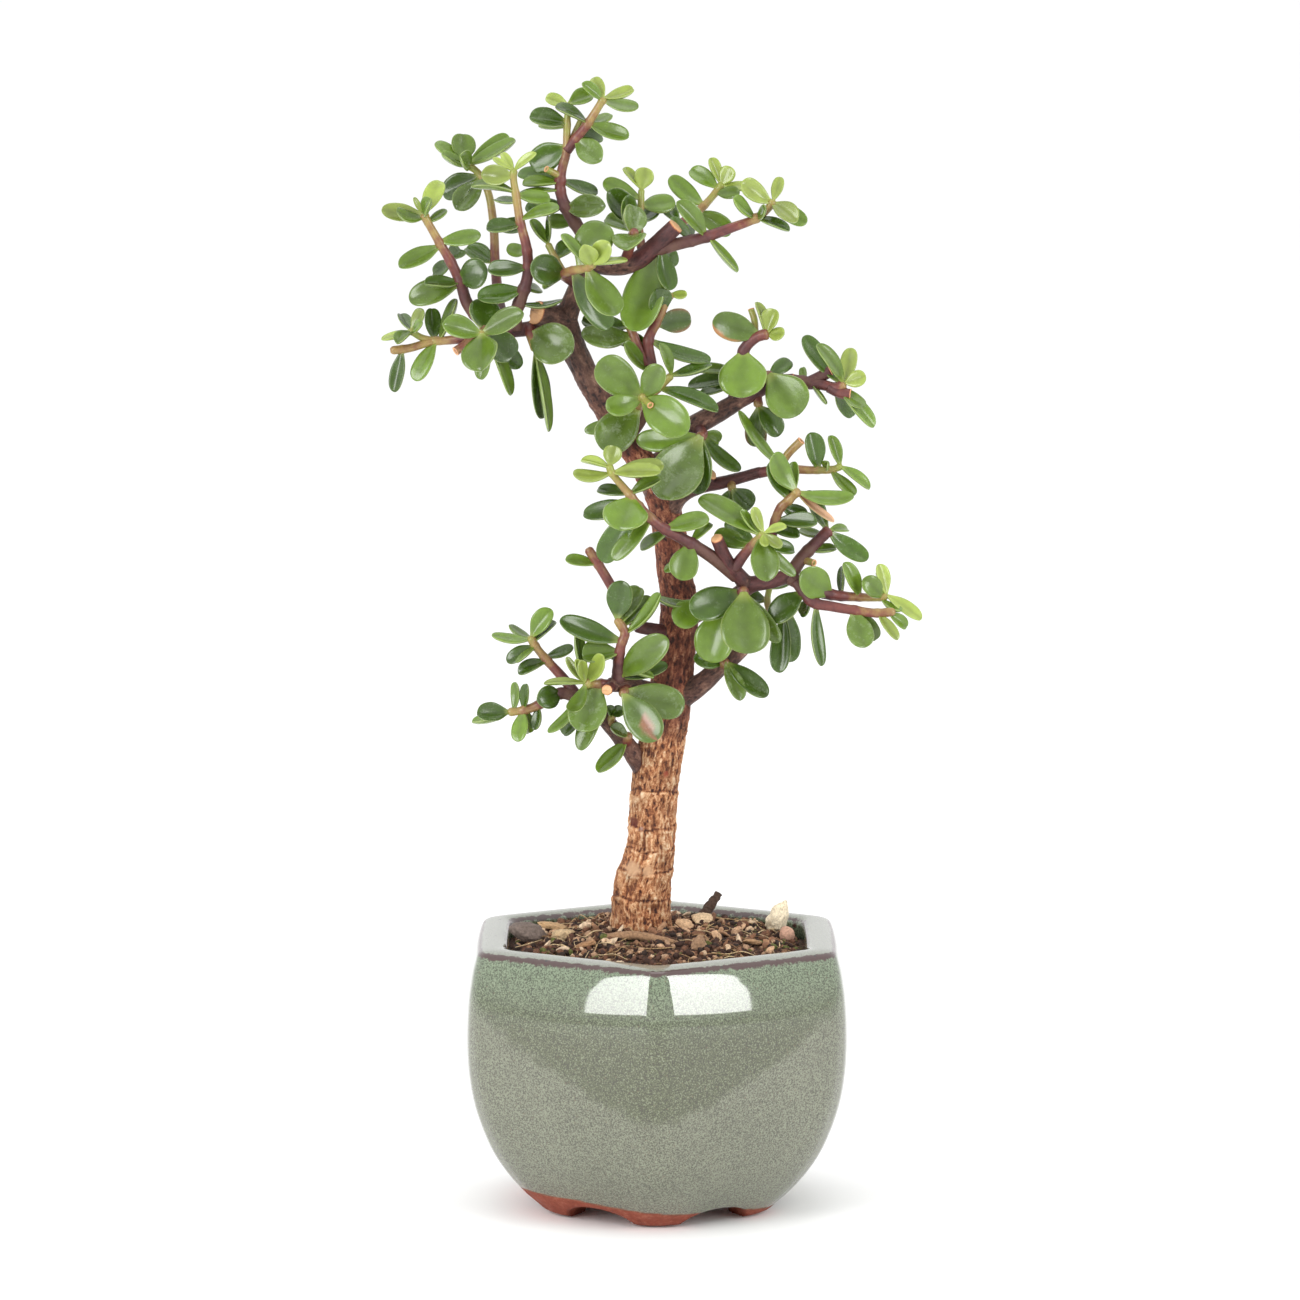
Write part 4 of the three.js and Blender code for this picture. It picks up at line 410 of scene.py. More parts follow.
# ------------------------------------------------------------------ small helpers
def linear(red, green, blue):
    """A colour picked on screen (0 to 255) as the linear values that shaders take."""
    def channel(value):
        value /= 255
        return value / 12.92 if value <= 0.04045 else ((value + 0.055) / 1.055) ** 2.4
    return (channel(red), channel(green), channel(blue), 1.0)


def unit(vector):
    """The vector or array of vectors at length 1."""
    vector = np.asarray(vector, float)
    return vector / np.maximum(np.linalg.norm(vector, axis=-1, keepdims=True), 1e-9)


def smoothstep(low, high, value):
    share = np.clip((value - low) / (high - low), 0, 1)
    return share * share * (3 - 2 * share)


def noise_at(points, size, seed=0):
    """Smooth noise of -1 to 1 at each point (mm), with features about size mm across."""
    shift = Vector((seed * 17.3, seed * -9.1, seed * 5.7))
    return np.array([noise.noise(Vector(p) / size + shift) for p in points])


def smooth_path(route, count):
    """Evenly spaced points along a centripetal Catmull-Rom curve through the route."""
    points = np.array(route, float)
    if len(points) == 2:
        return points[0] + np.linspace(0, 1, count)[:, None] * (points[1] - points[0])
    points = np.vstack([2 * points[0] - points[1], points, 2 * points[-1] - points[-2]])
    dense = []
    for before, start, end, after in zip(points, points[1:], points[2:], points[3:]):
        gap0, gap1, gap2 = (
            max(np.linalg.norm(b - a) ** 0.5, 1e-3)
            for a, b in ((before, start), (start, end), (end, after))
        )
        leave = ((start - before) / gap0 - (end - before) / (gap0 + gap1)
                 + (end - start) / gap1) * gap1
        arrive = ((end - start) / gap1 - (after - start) / (gap1 + gap2)
                  + (after - end) / gap2) * gap1
        t = np.linspace(0, 1, 16, endpoint=False)[:, None]
        dense.append(start * (2 * t**3 - 3 * t**2 + 1) + leave * (t**3 - 2 * t**2 + t)
                     + end * (3 * t**2 - 2 * t**3) + arrive * (t**3 - t**2))
    dense = np.vstack(dense + [points[-2][None, :]])
    travelled = np.concatenate([[0], np.cumsum(np.linalg.norm(np.diff(dense, axis=0), axis=1))])
    wanted = np.linspace(0, travelled[-1], count)
    return np.stack([np.interp(wanted, travelled, dense[:, k]) for k in range(3)], axis=1)


def path_length(path):
    return float(np.linalg.norm(np.diff(path, axis=0), axis=1).sum())


class MeshParts:
    """Vertices, faces, material numbers and per-vertex values gathered into one mesh."""

    def __init__(self, **values):
        self.vertices, self.faces, self.materials = [], [], []
        self.widths = values
        self.values = {name: [] for name in values}
        self.count = 0

    def add(self, vertices, faces, material=0, **values):
        self.vertices.append(np.asarray(vertices, float))
        self.faces += [tuple(corner + self.count for corner in face) for face in faces]
        self.materials += [material] * len(faces)
        for name, width in self.widths.items():
            value = np.asarray(values.get(name, 0.0), float)
            self.values[name].append(np.broadcast_to(value, (len(vertices), width)))
        self.count += len(vertices)

    def build(self, name, materials, slot, replaces=()):
        mesh = bpy.data.meshes.new(name)
        vertices = np.vstack(self.vertices) * MM
        mesh.from_pydata(vertices.tolist(), [], self.faces)
        for material in materials:
            mesh.materials.append(material)
        mesh.polygons.foreach_set("material_index", self.materials)
        for key, rows in self.values.items():
            write_values(mesh, key, np.vstack(rows).T)
        mesh.shade_smooth()
        return place(bpy.data.objects.new(name, mesh), replaces)


def place(piece, replaces=()):
    """Puts a finished piece in the scene, riding on the one body."""
    bpy.context.scene.collection.objects.link(piece)
    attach(piece, "root")
    if replaces:
        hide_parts(*replaces)
    return piece


def ring_faces(rings, around, closed_ends=True):
    """Faces of a tube made of rings of vertices, with both ends filled."""
    faces = []
    for ring in range(rings - 1):
        for k in range(around):
            a, b = ring * around + k, ring * around + (k + 1) % around
            faces.append((a, b, b + around, a + around))
    if closed_ends:
        faces.append(tuple(reversed(range(around))))
        faces.append(tuple(range((rings - 1) * around, rings * around)))
    return faces


def path_frames(path):
    """Tangent, and two directions across it that turn as little as they can, at each point."""
    tangents = unit(np.gradient(path, axis=0))
    start = np.array([0.0, -1.0, 0.0]) if abs(tangents[0][1]) < 0.9 else np.array([1.0, 0, 0])
    across = [unit(start - tangents[0] * start.dot(tangents[0]))]
    for tangent in tangents[1:]:
        across.append(unit(across[-1] - tangent * across[-1].dot(tangent)))
    across = np.array(across)
    return tangents, across, np.cross(tangents, across)


def tube(path, radii, around):
    """Rings of vertices round a path: (rings, around, 3)."""
    _, first, second = path_frames(path)
    angle = np.linspace(0, 2 * np.pi, around, endpoint=False)
    out = (np.cos(angle)[None, :, None] * first[:, None, :]
           + np.sin(angle)[None, :, None] * second[:, None, :])
    return path[:, None, :] + out * np.broadcast_to(radii, (around, len(path))).T[:, :, None]


# ------------------------------------------------------------------ materials
class Graph:
    """The nodes of a material, or of the world, added one line at a time."""

    def __init__(self, owner, shader="Principled BSDF"):
        owner.use_nodes = True
        self.owner = owner
        self.nodes, self.links = owner.node_tree.nodes, owner.node_tree.links
        self.shader = self.nodes[shader]

    def node(self, kind, inputs=None, **settings):
        made = self.nodes.new("ShaderNode" + kind)
        for key, value in settings.items():
            setattr(made, key, value)
        for key, value in (inputs or {}).items():
            self.feed(made.inputs[key], value)
        return made

    def feed(self, socket, value):
        if isinstance(value, bpy.types.NodeSocket):
            self.links.new(value, socket)
        else:
            socket.default_value = value

    def set(self, **inputs):
        for key, value in inputs.items():
            self.feed(self.shader.inputs[key.replace("_", " ")], value)

    def vector(self, operation, a, b):
        return self.node("VectorMath", {0: a, 1: b}, operation=operation).outputs[0]

    def place(self, stretch=(1, 1, 1)):
        """Where a point is, in millimetres, stretched along the axes."""
        where = self.node("TexCoord").outputs["Object"]
        return self.vector("MULTIPLY", where, tuple(value / MM for value in stretch))

    def attribute(self, name, output="Vector"):
        return self.node("Attribute", attribute_name=name).outputs[output]

    def split(self, vector):
        return self.node("SeparateXYZ", {0: vector}).outputs

    def noise(self, vector, scale, detail=3.0, rough=0.55):
        inputs = {"Vector": vector, "Scale": scale, "Detail": detail, "Roughness": rough}
        return self.node("TexNoise", inputs).outputs["Fac"]

    def cells(self, vector, scale):
        return self.node("TexVoronoi", {"Vector": vector, "Scale": scale}).outputs["Distance"]

    def step(self, value, low, high, start=0.0, end=1.0):
        """Goes smoothly from start to end while the value goes from low to high."""
        inputs = {"Value": value, 1: low, 2: high, 3: start, 4: end}
        made = self.node("MapRange", inputs, interpolation_type="SMOOTHSTEP")
        return made.outputs["Result"]

    def math(self, operation, a, b=0.0):
        return self.node("Math", {0: a, 1: b}, operation=operation).outputs[0]

    def plus(self, a, b):
        return self.math("ADD", a, b)

    def times(self, a, b):
        return self.math("MULTIPLY", a, b)

    def mix(self, share, a, b, blend="MIX"):
        """A share of colour b over colour a; b may be a colour as picked on screen."""
        made = self.node("Mix", data_type="RGBA", blend_type=blend)
        b = linear(*b) if isinstance(b, tuple) else b
        for key, value in {"Factor": share, "A": a, "B": b}.items():
            self.feed(made.inputs[key], value)
        return made.outputs["Result"]

    def shaded(self, colour, strength):
        """The colour made darker or lighter."""
        return self.mix(1.0, colour, strength, "MULTIPLY")

    def ramp(self, value, *stops):
        """Stops are a position, then a colour as picked on screen."""
        made = self.node("ValToRGB", {"Fac": value})
        elements = made.color_ramp.elements
        while len(elements) < len(stops):
            elements.new(0.5)
        for element, (position, *colour) in zip(elements, stops):
            element.position, element.color = position, linear(*colour)
        return made.outputs["Color"]

    def bump(self, height, distance, strength=1.0):
        inputs = {"Height": height, "Distance": distance * MM, "Strength": strength}
        self.set(Normal=self.node("Bump", inputs).outputs["Normal"])


def new_material(name):
    return Graph(bpy.data.materials.new(name))


def leaf_material():
    """form: how far along the leaf, across it (-1 to 1) and out of its faces (-1 to 1)."""
    g = new_material("fleshy_leaf")
    where = g.place()
    along, across, upper = g.split(g.attribute("form"))[:3]
    aside = g.math("ABSOLUTE", across)
    patchy = g.step(g.noise(where, 0.3), 0.3, 0.7, 0.9, 1.1)
    colour = g.shaded(g.attribute("tint", "Color"), patchy)
    colour = g.shaded(colour, g.step(aside, 0.0, 0.5, 0.82, 1.0))
    edge = g.step(aside, 0.93, 1.0, 0.0, 0.5)
    colour = g.mix(edge, colour, (172, 184, 116))
    foot = g.step(along, 0.02, 0.22, 0.5, 0.0)
    colour = g.mix(foot, colour, (160, 168, 88))
    under = g.step(upper, -0.25, 0.25, 0.34, 0.0)
    colour = g.mix(under, colour, (128, 146, 84))
    specks = g.step(g.cells(where, 1.7), 0.07, 0.15, 1.0, 0.0)
    specks = g.times(specks, g.step(aside, 0.3, 0.95, 0.1, 1.0))
    clouds = g.step(g.noise(where, 0.35, 6.0, 0.75), 0.5, 0.7)
    dust = g.times(g.attribute("dust", "Fac"), g.math("MAXIMUM", specks, clouds))
    colour = g.mix(g.times(dust, 0.42), colour, (176, 188, 158))
    colour = g.mix(g.times(specks, 0.35), colour, (206, 214, 190))
    g.set(Base_Color=colour, Roughness=g.step(dust, 0.0, 0.6, 0.26, 0.52), IOR=1.45)
    g.set(Subsurface_Weight=0.1, Subsurface_Scale=1.0 * MM, Subsurface_Radius=(0.5, 0.8, 0.25))
    g.set(Coat_Weight=0.35, Coat_Roughness=0.12)
    g.bump(g.noise(where, 1.6, 4.0), 0.07, 0.5)
    return g.owner


def stem_material():
    """Young stems are green and tan, then burgundy, then grey-brown."""
    g = new_material("green_to_burgundy_stem")
    where = g.place()
    blotch = g.step(g.noise(where, 0.35, 2.0), 0.3, 0.7, -0.09, 0.09)
    age = g.plus(g.attribute("age", "Fac"), blotch)
    colour = g.ramp(age, (0.0, 134, 144, 62), (0.27, 150, 124, 74),
                    (0.5, 112, 58, 50), (0.72, 76, 36, 38),
                    (1.0, 96, 66, 54))
    streaks = g.step(g.noise(g.place((1, 1, 0.25)), 3.0, 4.0), 0.3, 0.75, 0.9, 1.1)
    colour = g.shaded(colour, streaks)
    cut = g.attribute("cut", "Fac")
    face = g.ramp(g.plus(cut, g.step(g.noise(where, 2.5), 0.3, 0.7, -0.06, 0.06)),
                  (0.0, 196, 112, 66), (0.28, 150, 52, 34),
                  (0.55, 176, 84, 52), (0.68, 222, 172, 126),
                  (1.0, 210, 150, 108))
    colour = g.mix(g.step(cut, 0.001, 0.01), colour, face)
    g.set(Base_Color=colour, Roughness=g.step(age, 0.2, 1.0, 0.3, 0.6))
    g.bump(g.noise(g.place((1, 1, 0.4)), 3.5, 4.0), 0.06, 0.5)
    return g.owner


def bark_material():
    """grain: distance round the limb, along it and out of it, in mm; kind: age, cut, relief.

    Age is 0 for old tan bark, 0.5 for russet bark, 1 for the limbs and 2 for their young ends."""
    g = new_material("fissured_bark")
    where, grain = g.place(), g.attribute("grain")
    age, cut, relief = g.split(g.attribute("kind"))[:3]
    bend = g.node("TexNoise", {"Vector": where, "Scale": 0.7, "Detail": 2.0}).outputs["Color"]
    bent = g.vector("ADD", grain, g.vector("MULTIPLY", bend, (1.6, 1.6, 1.6)))
    long = g.vector("MULTIPLY", bent, (1.0, 0.42, 1.0))
    cracks = g.step(g.cells(long, 0.95), 0.05, 0.5)
    fibres = g.noise(long, 1.3, 6.0, 0.72)
    fine = g.noise(long, 4.2, 4.0, 0.7)
    height = g.plus(g.times(fibres, 0.62), g.times(fine, 0.26))
    height = g.plus(height, g.times(cracks, 0.16))
    shade = g.plus(height, relief)
    tan = g.ramp(shade, (0.44, 58, 28, 18), (0.53, 116, 66, 40),
                 (0.6, 166, 106, 66), (0.68, 206, 156, 112),
                 (0.77, 238, 212, 178))
    russet = g.ramp(shade, (0.43, 44, 18, 14), (0.54, 88, 44, 32),
                    (0.63, 128, 70, 50), (0.72, 172, 114, 84),
                    (0.82, 214, 168, 136))
    limb = g.ramp(shade, (0.42, 42, 24, 22), (0.56, 82, 52, 44),
                  (0.68, 118, 82, 68), (0.8, 160, 126, 106))
    colour = g.mix(g.step(age, 0.0, 0.5), tan, russet)
    colour = g.mix(g.step(age, 0.5, 1.0), colour, limb)
    wine = g.ramp(shade, (0.42, 54, 22, 24), (0.75, 98, 52, 50))
    colour = g.mix(g.step(age, 1.0, 2.0), colour, wine)
    patches = g.step(g.noise(where, 0.2, 3.0), 0.35, 0.68, 0.74, 1.12)
    colour = g.shaded(colour, patches)
    colour = g.mix(g.attribute("scar", "Alpha"), colour, g.attribute("scar", "Color"))
    wood = g.ramp(g.plus(cut, g.step(fine, 0.3, 0.7, -0.2, 0.2)),
                  (0.0, 120, 60, 40), (0.5, 172, 104, 64),
                  (1.0, 214, 166, 120))
    colour = g.mix(g.step(cut, 0.05, 0.3), colour, wood)
    g.set(Base_Color=colour, Roughness=g.step(age, 0.5, 1.0, 0.8, 0.55))
    g.bump(g.times(height, g.step(age, 1.0, 2.0, 1.0, 0.25)), 0.8, 1.0)
    return g.owner


def glaze_colour(g, where, edge, height):
    """Speckled celadon with an olive zone on the front faces that is a painted reflection of the
    dark room, lighter and greener up the wall from thinner glaze and a painted sky reflection, dark
    on the rim's edges and pitted on its lip.
    """
    base = g.ramp(g.noise(where, 0.045, 3.0, 0.5), (0.35, 97, 99, 79), (0.65, 105, 107, 87))
    _, y, z = g.split(where)[:3]
    # Painted reflection: above a slanting line on the front faces the glaze turns dark olive,
    # standing in for the dark room reflected there.
    reflection_height = g.math("SUBTRACT", z, g.times(g.plus(y, PAINTED_REFLECTION_FRONT), PAINTED_REFLECTION_SLOPE))
    reflection_height = g.plus(reflection_height, g.step(g.noise(where, 0.25, 3.0), 0.3, 0.7, -1.2, 1.2))
    base = g.mix(g.step(reflection_height, PAINTED_REFLECTION_LOW - 2.0, PAINTED_REFLECTION_LOW + 2.5), base, (66, 71, 36))
    # Lighter and greener up the wall: partly thinner glaze, partly a painted reflection of the sky.
    base = g.mix(g.step(height, 0.7, 1.0, 0.0, 0.85), base, (110, 128, 102))
    grains = g.noise(where, 2.3, 2.0, 0.8)
    base = g.mix(g.step(grains, 0.5, 0.57, 0.0, 0.85), base, (42, 40, 22))
    base = g.mix(g.step(grains, 0.47, 0.38, 0.0, 0.55), base, (136, 144, 118))
    spots = g.step(g.cells(where, 0.75), 0.1, 0.2, 0.6, 0.0)
    rust = g.step(g.noise(where, 0.5, 2.0), 0.5, 0.6)
    base = g.mix(g.times(spots, rust), base, (92, 66, 44))
    lip = g.attribute("lip", "Fac")
    base = g.mix(g.times(lip, 0.5), base, (150, 148, 142))
    ragged = g.step(g.noise(where, 0.45, 5.0, 0.65), 0.3, 0.7, -0.28, 0.22)
    base = g.mix(g.step(g.plus(edge, ragged), 0.43, 0.7, 0.0, 0.95), base, (56, 18, 18))
    pores = g.times(lip, g.step(g.cells(where, 0.22), 0.08, 0.12, 0.85, 0.0))
    return g.mix(pores, base, (36, 28, 26))


def clay_colour(g, where):
    body = g.ramp(g.noise(where, 0.6, 6.0, 0.7), (0.3, 112, 50, 36), (0.55, 140, 72, 54),
                  (0.75, 166, 106, 84))
    scratches = g.step(g.noise(g.place((0.3, 0.3, 2.2)), 1.4, 5.0, 0.7), 0.6, 0.72, 0.0, 0.4)
    return g.mix(scratches, body, (196, 160, 140))


def glaze_material():
    """parts: closeness to a rim edge, the bare clay, and how high up the pot (0 to 1)."""
    g = new_material("speckled_celadon_glaze")
    where = g.place()
    edge, clay, height = g.split(g.attribute("parts"))[:3]
    colour = g.mix(clay, glaze_colour(g, where, edge, height), clay_colour(g, where))
    g.set(Base_Color=colour, Roughness=0.6, Specular_IOR_Level=0.2)
    g.set(Coat_Weight=g.step(clay, 0.1, 0.6, 1.0, 0.0), Coat_Roughness=0.035, Coat_IOR=1.8)
    pits = g.times(g.noise(where, 2.2, 3.0), g.step(clay, 0.0, 1.0, 0.04, 0.5))
    g.bump(g.plus(g.noise(where, 0.22, 2.0), pits), 0.16, 0.5)
    return g.owner


def earth_material():
    g = new_material("peat")
    where = g.place()
    crumbs = g.noise(where, 1.5, 7.0, 0.78)
    colour = g.ramp(crumbs, (0.34, 26, 16, 12), (0.48, 64, 40, 28),
                    (0.58, 112, 74, 52), (0.7, 176, 134, 102))
    moss = g.step(g.noise(where, 0.14, 4.0), 0.56, 0.68, 0.0, 0.7)
    colour = g.mix(g.times(moss, g.step(crumbs, 0.4, 0.6)), colour, (96, 104, 40))
    g.set(Base_Color=colour, Roughness=0.92)
    g.bump(crumbs, 1.0, 1.0)
    return g.owner


def crumb_material():
    """Each crumb carries its own colour; the surface is mottled and rough."""
    g = new_material("crumbs_and_bark")
    where = g.place()
    mottle = g.step(g.noise(where, 1.4, 6.0, 0.7), 0.28, 0.72, 0.6, 1.3)
    colour = g.shaded(g.attribute("tint", "Color"), mottle)
    g.set(Base_Color=colour, Roughness=0.88)
    g.bump(g.noise(where, 2.0, 6.0, 0.7), 0.35, 0.9)
    return g.owner


def mesh_material():
    g = new_material("dull_black_mesh")
    where = g.place()
    colour = g.ramp(g.noise(where, 1.2, 4.0), (0.3, 26, 26, 27), (0.7, 52, 50, 47))
    g.set(Base_Color=colour, Roughness=0.6)
    g.bump(g.noise(where, 3.0), 0.08)
    return g.owner


def floor_material():
    g = new_material("pale_floor")
    colour = g.ramp(g.noise(g.place(), 0.01, 3.0), (0.2, 250, 250, 250), (0.8, 254, 254, 254))
    g.set(Base_Color=colour, Roughness=0.6, Specular_IOR_Level=0.0)
    return g.owner


# ------------------------------------------------------------------ leaves
def face_direction(along, turn):
    """The way a leaf's upper face looks: from the front, turned up by so many degrees."""
    front = np.array([0.0, -1.0, 0.0]) + along * along[1]
    if np.linalg.norm(front) < 0.2:
        front = np.array([0.0, 0.0, 1.0]) - along * along[2]
    front = unit(front)
    up = unit(np.cross(along, front))
    up = -up if up[2] < 0 else up
    angle = math.radians(turn)
    return front * math.cos(angle) + up * math.sin(angle)


def leaf_outline(u):
    """Half-width along the leaf: wedge-shaped foot, widest past the middle, round tip."""
    widest = 0.6
    foot = 0.15 + 0.85 * np.sin(np.pi / 2 * np.clip(u / widest, 0, 1)) ** 1.2
    tip = np.sqrt(np.clip(1 - np.clip((u - widest) / (1 - widest), 0, 1) ** 2.35, 0, 1))
    return np.where(u < widest, foot, tip)


def leaf_tint(tone, u, across, rng):
    """The upper colour of each point of a leaf (rings, around, 4), scars included."""
    picked = TONES[tone][0]
    vary = rng.uniform(0.88, 1.12)
    colour = np.array(linear(*(min(255, value * vary) for value in picked)))
    tint = np.broadcast_to(colour, u.shape + (4,)).copy()

    def paint(share, picked_colour):
        tint[...] = tint + (np.array(linear(*picked_colour)) - tint) * share[..., None]

    if tone == 4:
        paint(smoothstep(0.2, 0.9, u), (196, 156, 122))
    if tone == 5:
        paint(smoothstep(0.7, 0.92, np.abs(across)) * smoothstep(0.3, 0.6, u), (120, 82, 62))
    if tone == 6:
        strip = across * SCORCHED_SIDE + 0.1 * np.sin(9 * u)
        paint(smoothstep(0.72, 0.86, strip) * smoothstep(0.3, 0.45, u), (158, 108, 66))
    if tone == 7:
        spot = np.hypot((u - 0.76) / 0.24, (across - 0.1 - 0.5 * (u - 0.7)) / 0.36)
        ragged = 0.16 * np.sin(11 * u + 7 * across) + 0.12 * np.sin(23 * across - 5 * u)
        paint(smoothstep(1.1, 0.92, spot + ragged), (146, 102, 78))
    return tint


def add_leaf(parts, base, leaf, rng):
    """One fleshy leaf, from its twig to its tip."""
    _, x, y, z, width, turn, tone = leaf
    rings, around = ((22, 18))
    tip = np.array([x, y, z], float)
    along, length = unit(tip - base), np.linalg.norm(tip - base)
    face = face_direction(along, turn)
    side = np.cross(along, face)
    u = (1 - np.cos(np.pi * np.linspace(0, 1, rings))) / 2
    angle = np.linspace(0, 2 * np.pi, around, endpoint=False)
    across, lift = np.cos(angle), np.sin(angle)
    half = leaf_outline(u) * width / 2
    plump = (0.7 + 0.15 * width) / 2 * rng.uniform(0.9, 1.15)
    thick = plump * (0.55 + 0.45 * np.sin(np.pi / 2 * np.clip(u / 0.6, 0, 1)))
    thick *= np.sqrt(np.clip(1 - u**7, 0, 1))
    cup, bow, twist = rng.uniform(0.15, 0.75), rng.uniform(-0.06, 0.14), rng.uniform(-0.3, 0.3)
    cup *= 1 if width < LARGE_LEAF else 0.6
    rise = cup * half[:, None] * np.abs(across) ** 1.6 - bow * length * (4 * u * (1 - u))[:, None]
    crease = 0.25 * plump * np.exp(-(across / 0.3) ** 2) * (lift > 0)
    rise = rise - crease * np.sin(np.pi * u)[:, None]
    rise = rise + np.sign(lift) * np.abs(lift) ** 0.8 * thick[:, None]
    rise = rise + twist * half[:, None] * across * u[:, None]
    out = half[:, None] * across * (1 + 0.03 * np.sin(7 * u + 3 * twist)[:, None])
    points = (base + along * (u * length)[:, None, None]
              + side * out[:, :, None] + face * rise[:, :, None])
    grid_u = np.broadcast_to(u[:, None], out.shape)
    grid_across = np.broadcast_to(across, out.shape)
    form = np.stack([grid_u, grid_across, np.broadcast_to(lift, out.shape)], axis=-1)
    faces = [tuple(reversed(corners)) for corners in ring_faces(rings, around)]
    parts.add(points.reshape(-1, 3), faces, 0, form=form.reshape(-1, 3),
              tint=leaf_tint(tone, grid_u, grid_across, rng).reshape(-1, 4),
              dust=TONES[tone][1] * rng.uniform(0.6, 1.3))


# ------------------------------------------------------------------ twigs
def add_twig(parts, route, first, last, leaves):
    """A green or burgundy stem, swollen where leaves grow, with a bare cut end if it has none."""
    length = path_length(smooth_path(route, 24))
    rings, around = max(6, int(length / 0.45)), 14
    path = smooth_path(route, rings)
    share = np.linspace(0, 1, rings)
    radii = first + (last - first) * share
    thin = radii.copy()
    for leaf in leaves:
        radii = radii + 0.1 * thin * np.exp(-(((share - leaf[0]) * length) / 0.7) ** 2)
    if leaves:
        radii[-1] *= 0.55
        radii[-2] *= 0.9
    tubes = tube(path, radii, around)
    age = 0.9 * np.clip((thin - GREEN_STEM) / (WOODY_STEM - GREEN_STEM), 0, 1) + 0.06 * (1 - share)
    parts.add(tubes.reshape(-1, 3), ring_faces(rings, around), 1,
              age=np.repeat(age, around)[:, None])
    if not leaves:
        add_cut(parts, path, radii[-1], around)


def add_cut(parts, path, radius, around):
    """The face of a cut stem: a pale ring raised round a redder middle."""
    tangent = unit(path[-1] - path[-2])
    shares = [0.98, 1.06, 0.96, 0.78, 0.6, 0.42, 0.2, 0.04]
    heights = [-0.1, 0.06, 0.2, 0.14, -0.02, -0.06, -0.02, 0.0]
    _, first, second = path_frames(path[-2:])
    angle = np.linspace(0, 2 * np.pi, around, endpoint=False)
    out = np.cos(angle)[:, None] * first[-1] + np.sin(angle)[:, None] * second[-1]
    rings = [path[-1] + tangent * height + out * radius * share
             for share, height in zip(shares, heights)]
    parts.add(np.vstack(rings), ring_faces(len(shares), around), 1,
              cut=np.repeat(np.clip(shares, 0.02, 1), around)[:, None], age=0.8)


def grow_shoot(name, twigs, materials, slot):
    parts = MeshParts(form=3, tint=4, dust=1, age=1, cut=1)
    rng = random.Random(name)
    for route, first, last, leaves in twigs:
        add_twig(parts, route, first, last, leaves)
        path = smooth_path(route, 101)
        for leaf in leaves:
            add_leaf(parts, path[round(leaf[0] * 100)], leaf, rng)
    parts.build("leafy_" + name, materials, slot, ["shoot_" + name])


# ------------------------------------------------------------------ trunk and limbs
BLANK_STEP, BLANK_AROUND = 3, 20                    # samples from ring to ring, points round each
TRUNK_TOP = 236                                     # over this the trunk's bark is a limb's
RUSSET_FROM, RUSSET_TO = 122, 140                   # heights over which tan bark turns russet
LIMB_LIKE_FROM, LIMB_LIKE_TO = 186, 232             # and russet bark turns grey-brown
# limb: how far along it (mm) its bark turns to smooth wine-coloured skin
YOUNG_FROM = {2: 9, 4: 4, 9: 0, 10: -6, 14: -6, 15: 0, 8: 22, 5: 34, 6: 12, 7: -6}
RING_HEIGHTS = (85.3, 92.8, 98.8, 105.0, 115.2)     # seams round the old trunk
SCARS = [                                           # middle, radius, colour of marks on the bark
    ((5.6, -3.5, 115.6), 1.5, (84, 48, 50)), ((-6.4, -3.0, 106.4), 1.7, (92, 38, 30)),
    ((3.2, -5.6, 98.5), 1.3, (150, 84, 62)), ((-6.6, -4, 93.7), 2.6, (206, 166, 130)),
    ((-2.5, -5.5, 93.2), 1.8, (204, 162, 124)), ((2.5, -5.5, 120), 1.1, (150, 70, 48)),
    ((5.5, -2.5, 107.0), 1.0, (164, 96, 80)), ((-4.5, -5.5, 104.6), 1.2, (176, 150, 140)),
]


def limb_points():
    """Every limb sampled each half millimetre: place, radius, limb, distance along, frame."""
    rows = []
    for number, (route, radii, cut) in enumerate(LIMBS):
        length = path_length(smooth_path(route, 60))
        path = smooth_path(route, max(4, int(length / 0.5)))
        share = np.linspace(0, 1, len(path))
        girth = np.interp(share, np.linspace(0, 1, len(radii)), radii)
        tangents, first, second = path_frames(path)
        rows.append({"number": number, "path": path, "radius": girth, "cut": cut,
                     "along": share * length, "tangents": tangents, "first": first,
                     "second": second})
    return rows


def wood_blank(limbs):
    """All limbs as tubes melted into one skin."""
    parts = MeshParts()
    for limb in limbs:
        path, radius = limb["path"][::BLANK_STEP], limb["radius"][::BLANK_STEP]
        if len(path) < 3:
            path, radius = limb["path"], limb["radius"]
        path = np.vstack([path, limb["path"][-1:]])
        radius = np.append(radius, limb["radius"][-1])
        rings = tube(path, radius, BLANK_AROUND).reshape(-1, 3)
        parts.add(rings, ring_faces(len(path), BLANK_AROUND))
    mesh = bpy.data.meshes.new("wood_blank")
    mesh.from_pydata((np.vstack(parts.vertices) * MM).tolist(), [], parts.faces)
    blank = add_to_scene("wood_blank", mesh)
    melt = blank.modifiers.new("melt", "REMESH")
    melt.mode, melt.voxel_size = "VOXEL", 0.42 * MM
    soften = blank.modifiers.new("soften", "SMOOTH")
    soften.factor, soften.iterations = 0.5, 4
    melted = blank.evaluated_get(bpy.context.evaluated_depsgraph_get())
    skin = bpy.data.meshes.new_from_object(melted)
    bpy.data.objects.remove(blank)
    return skin


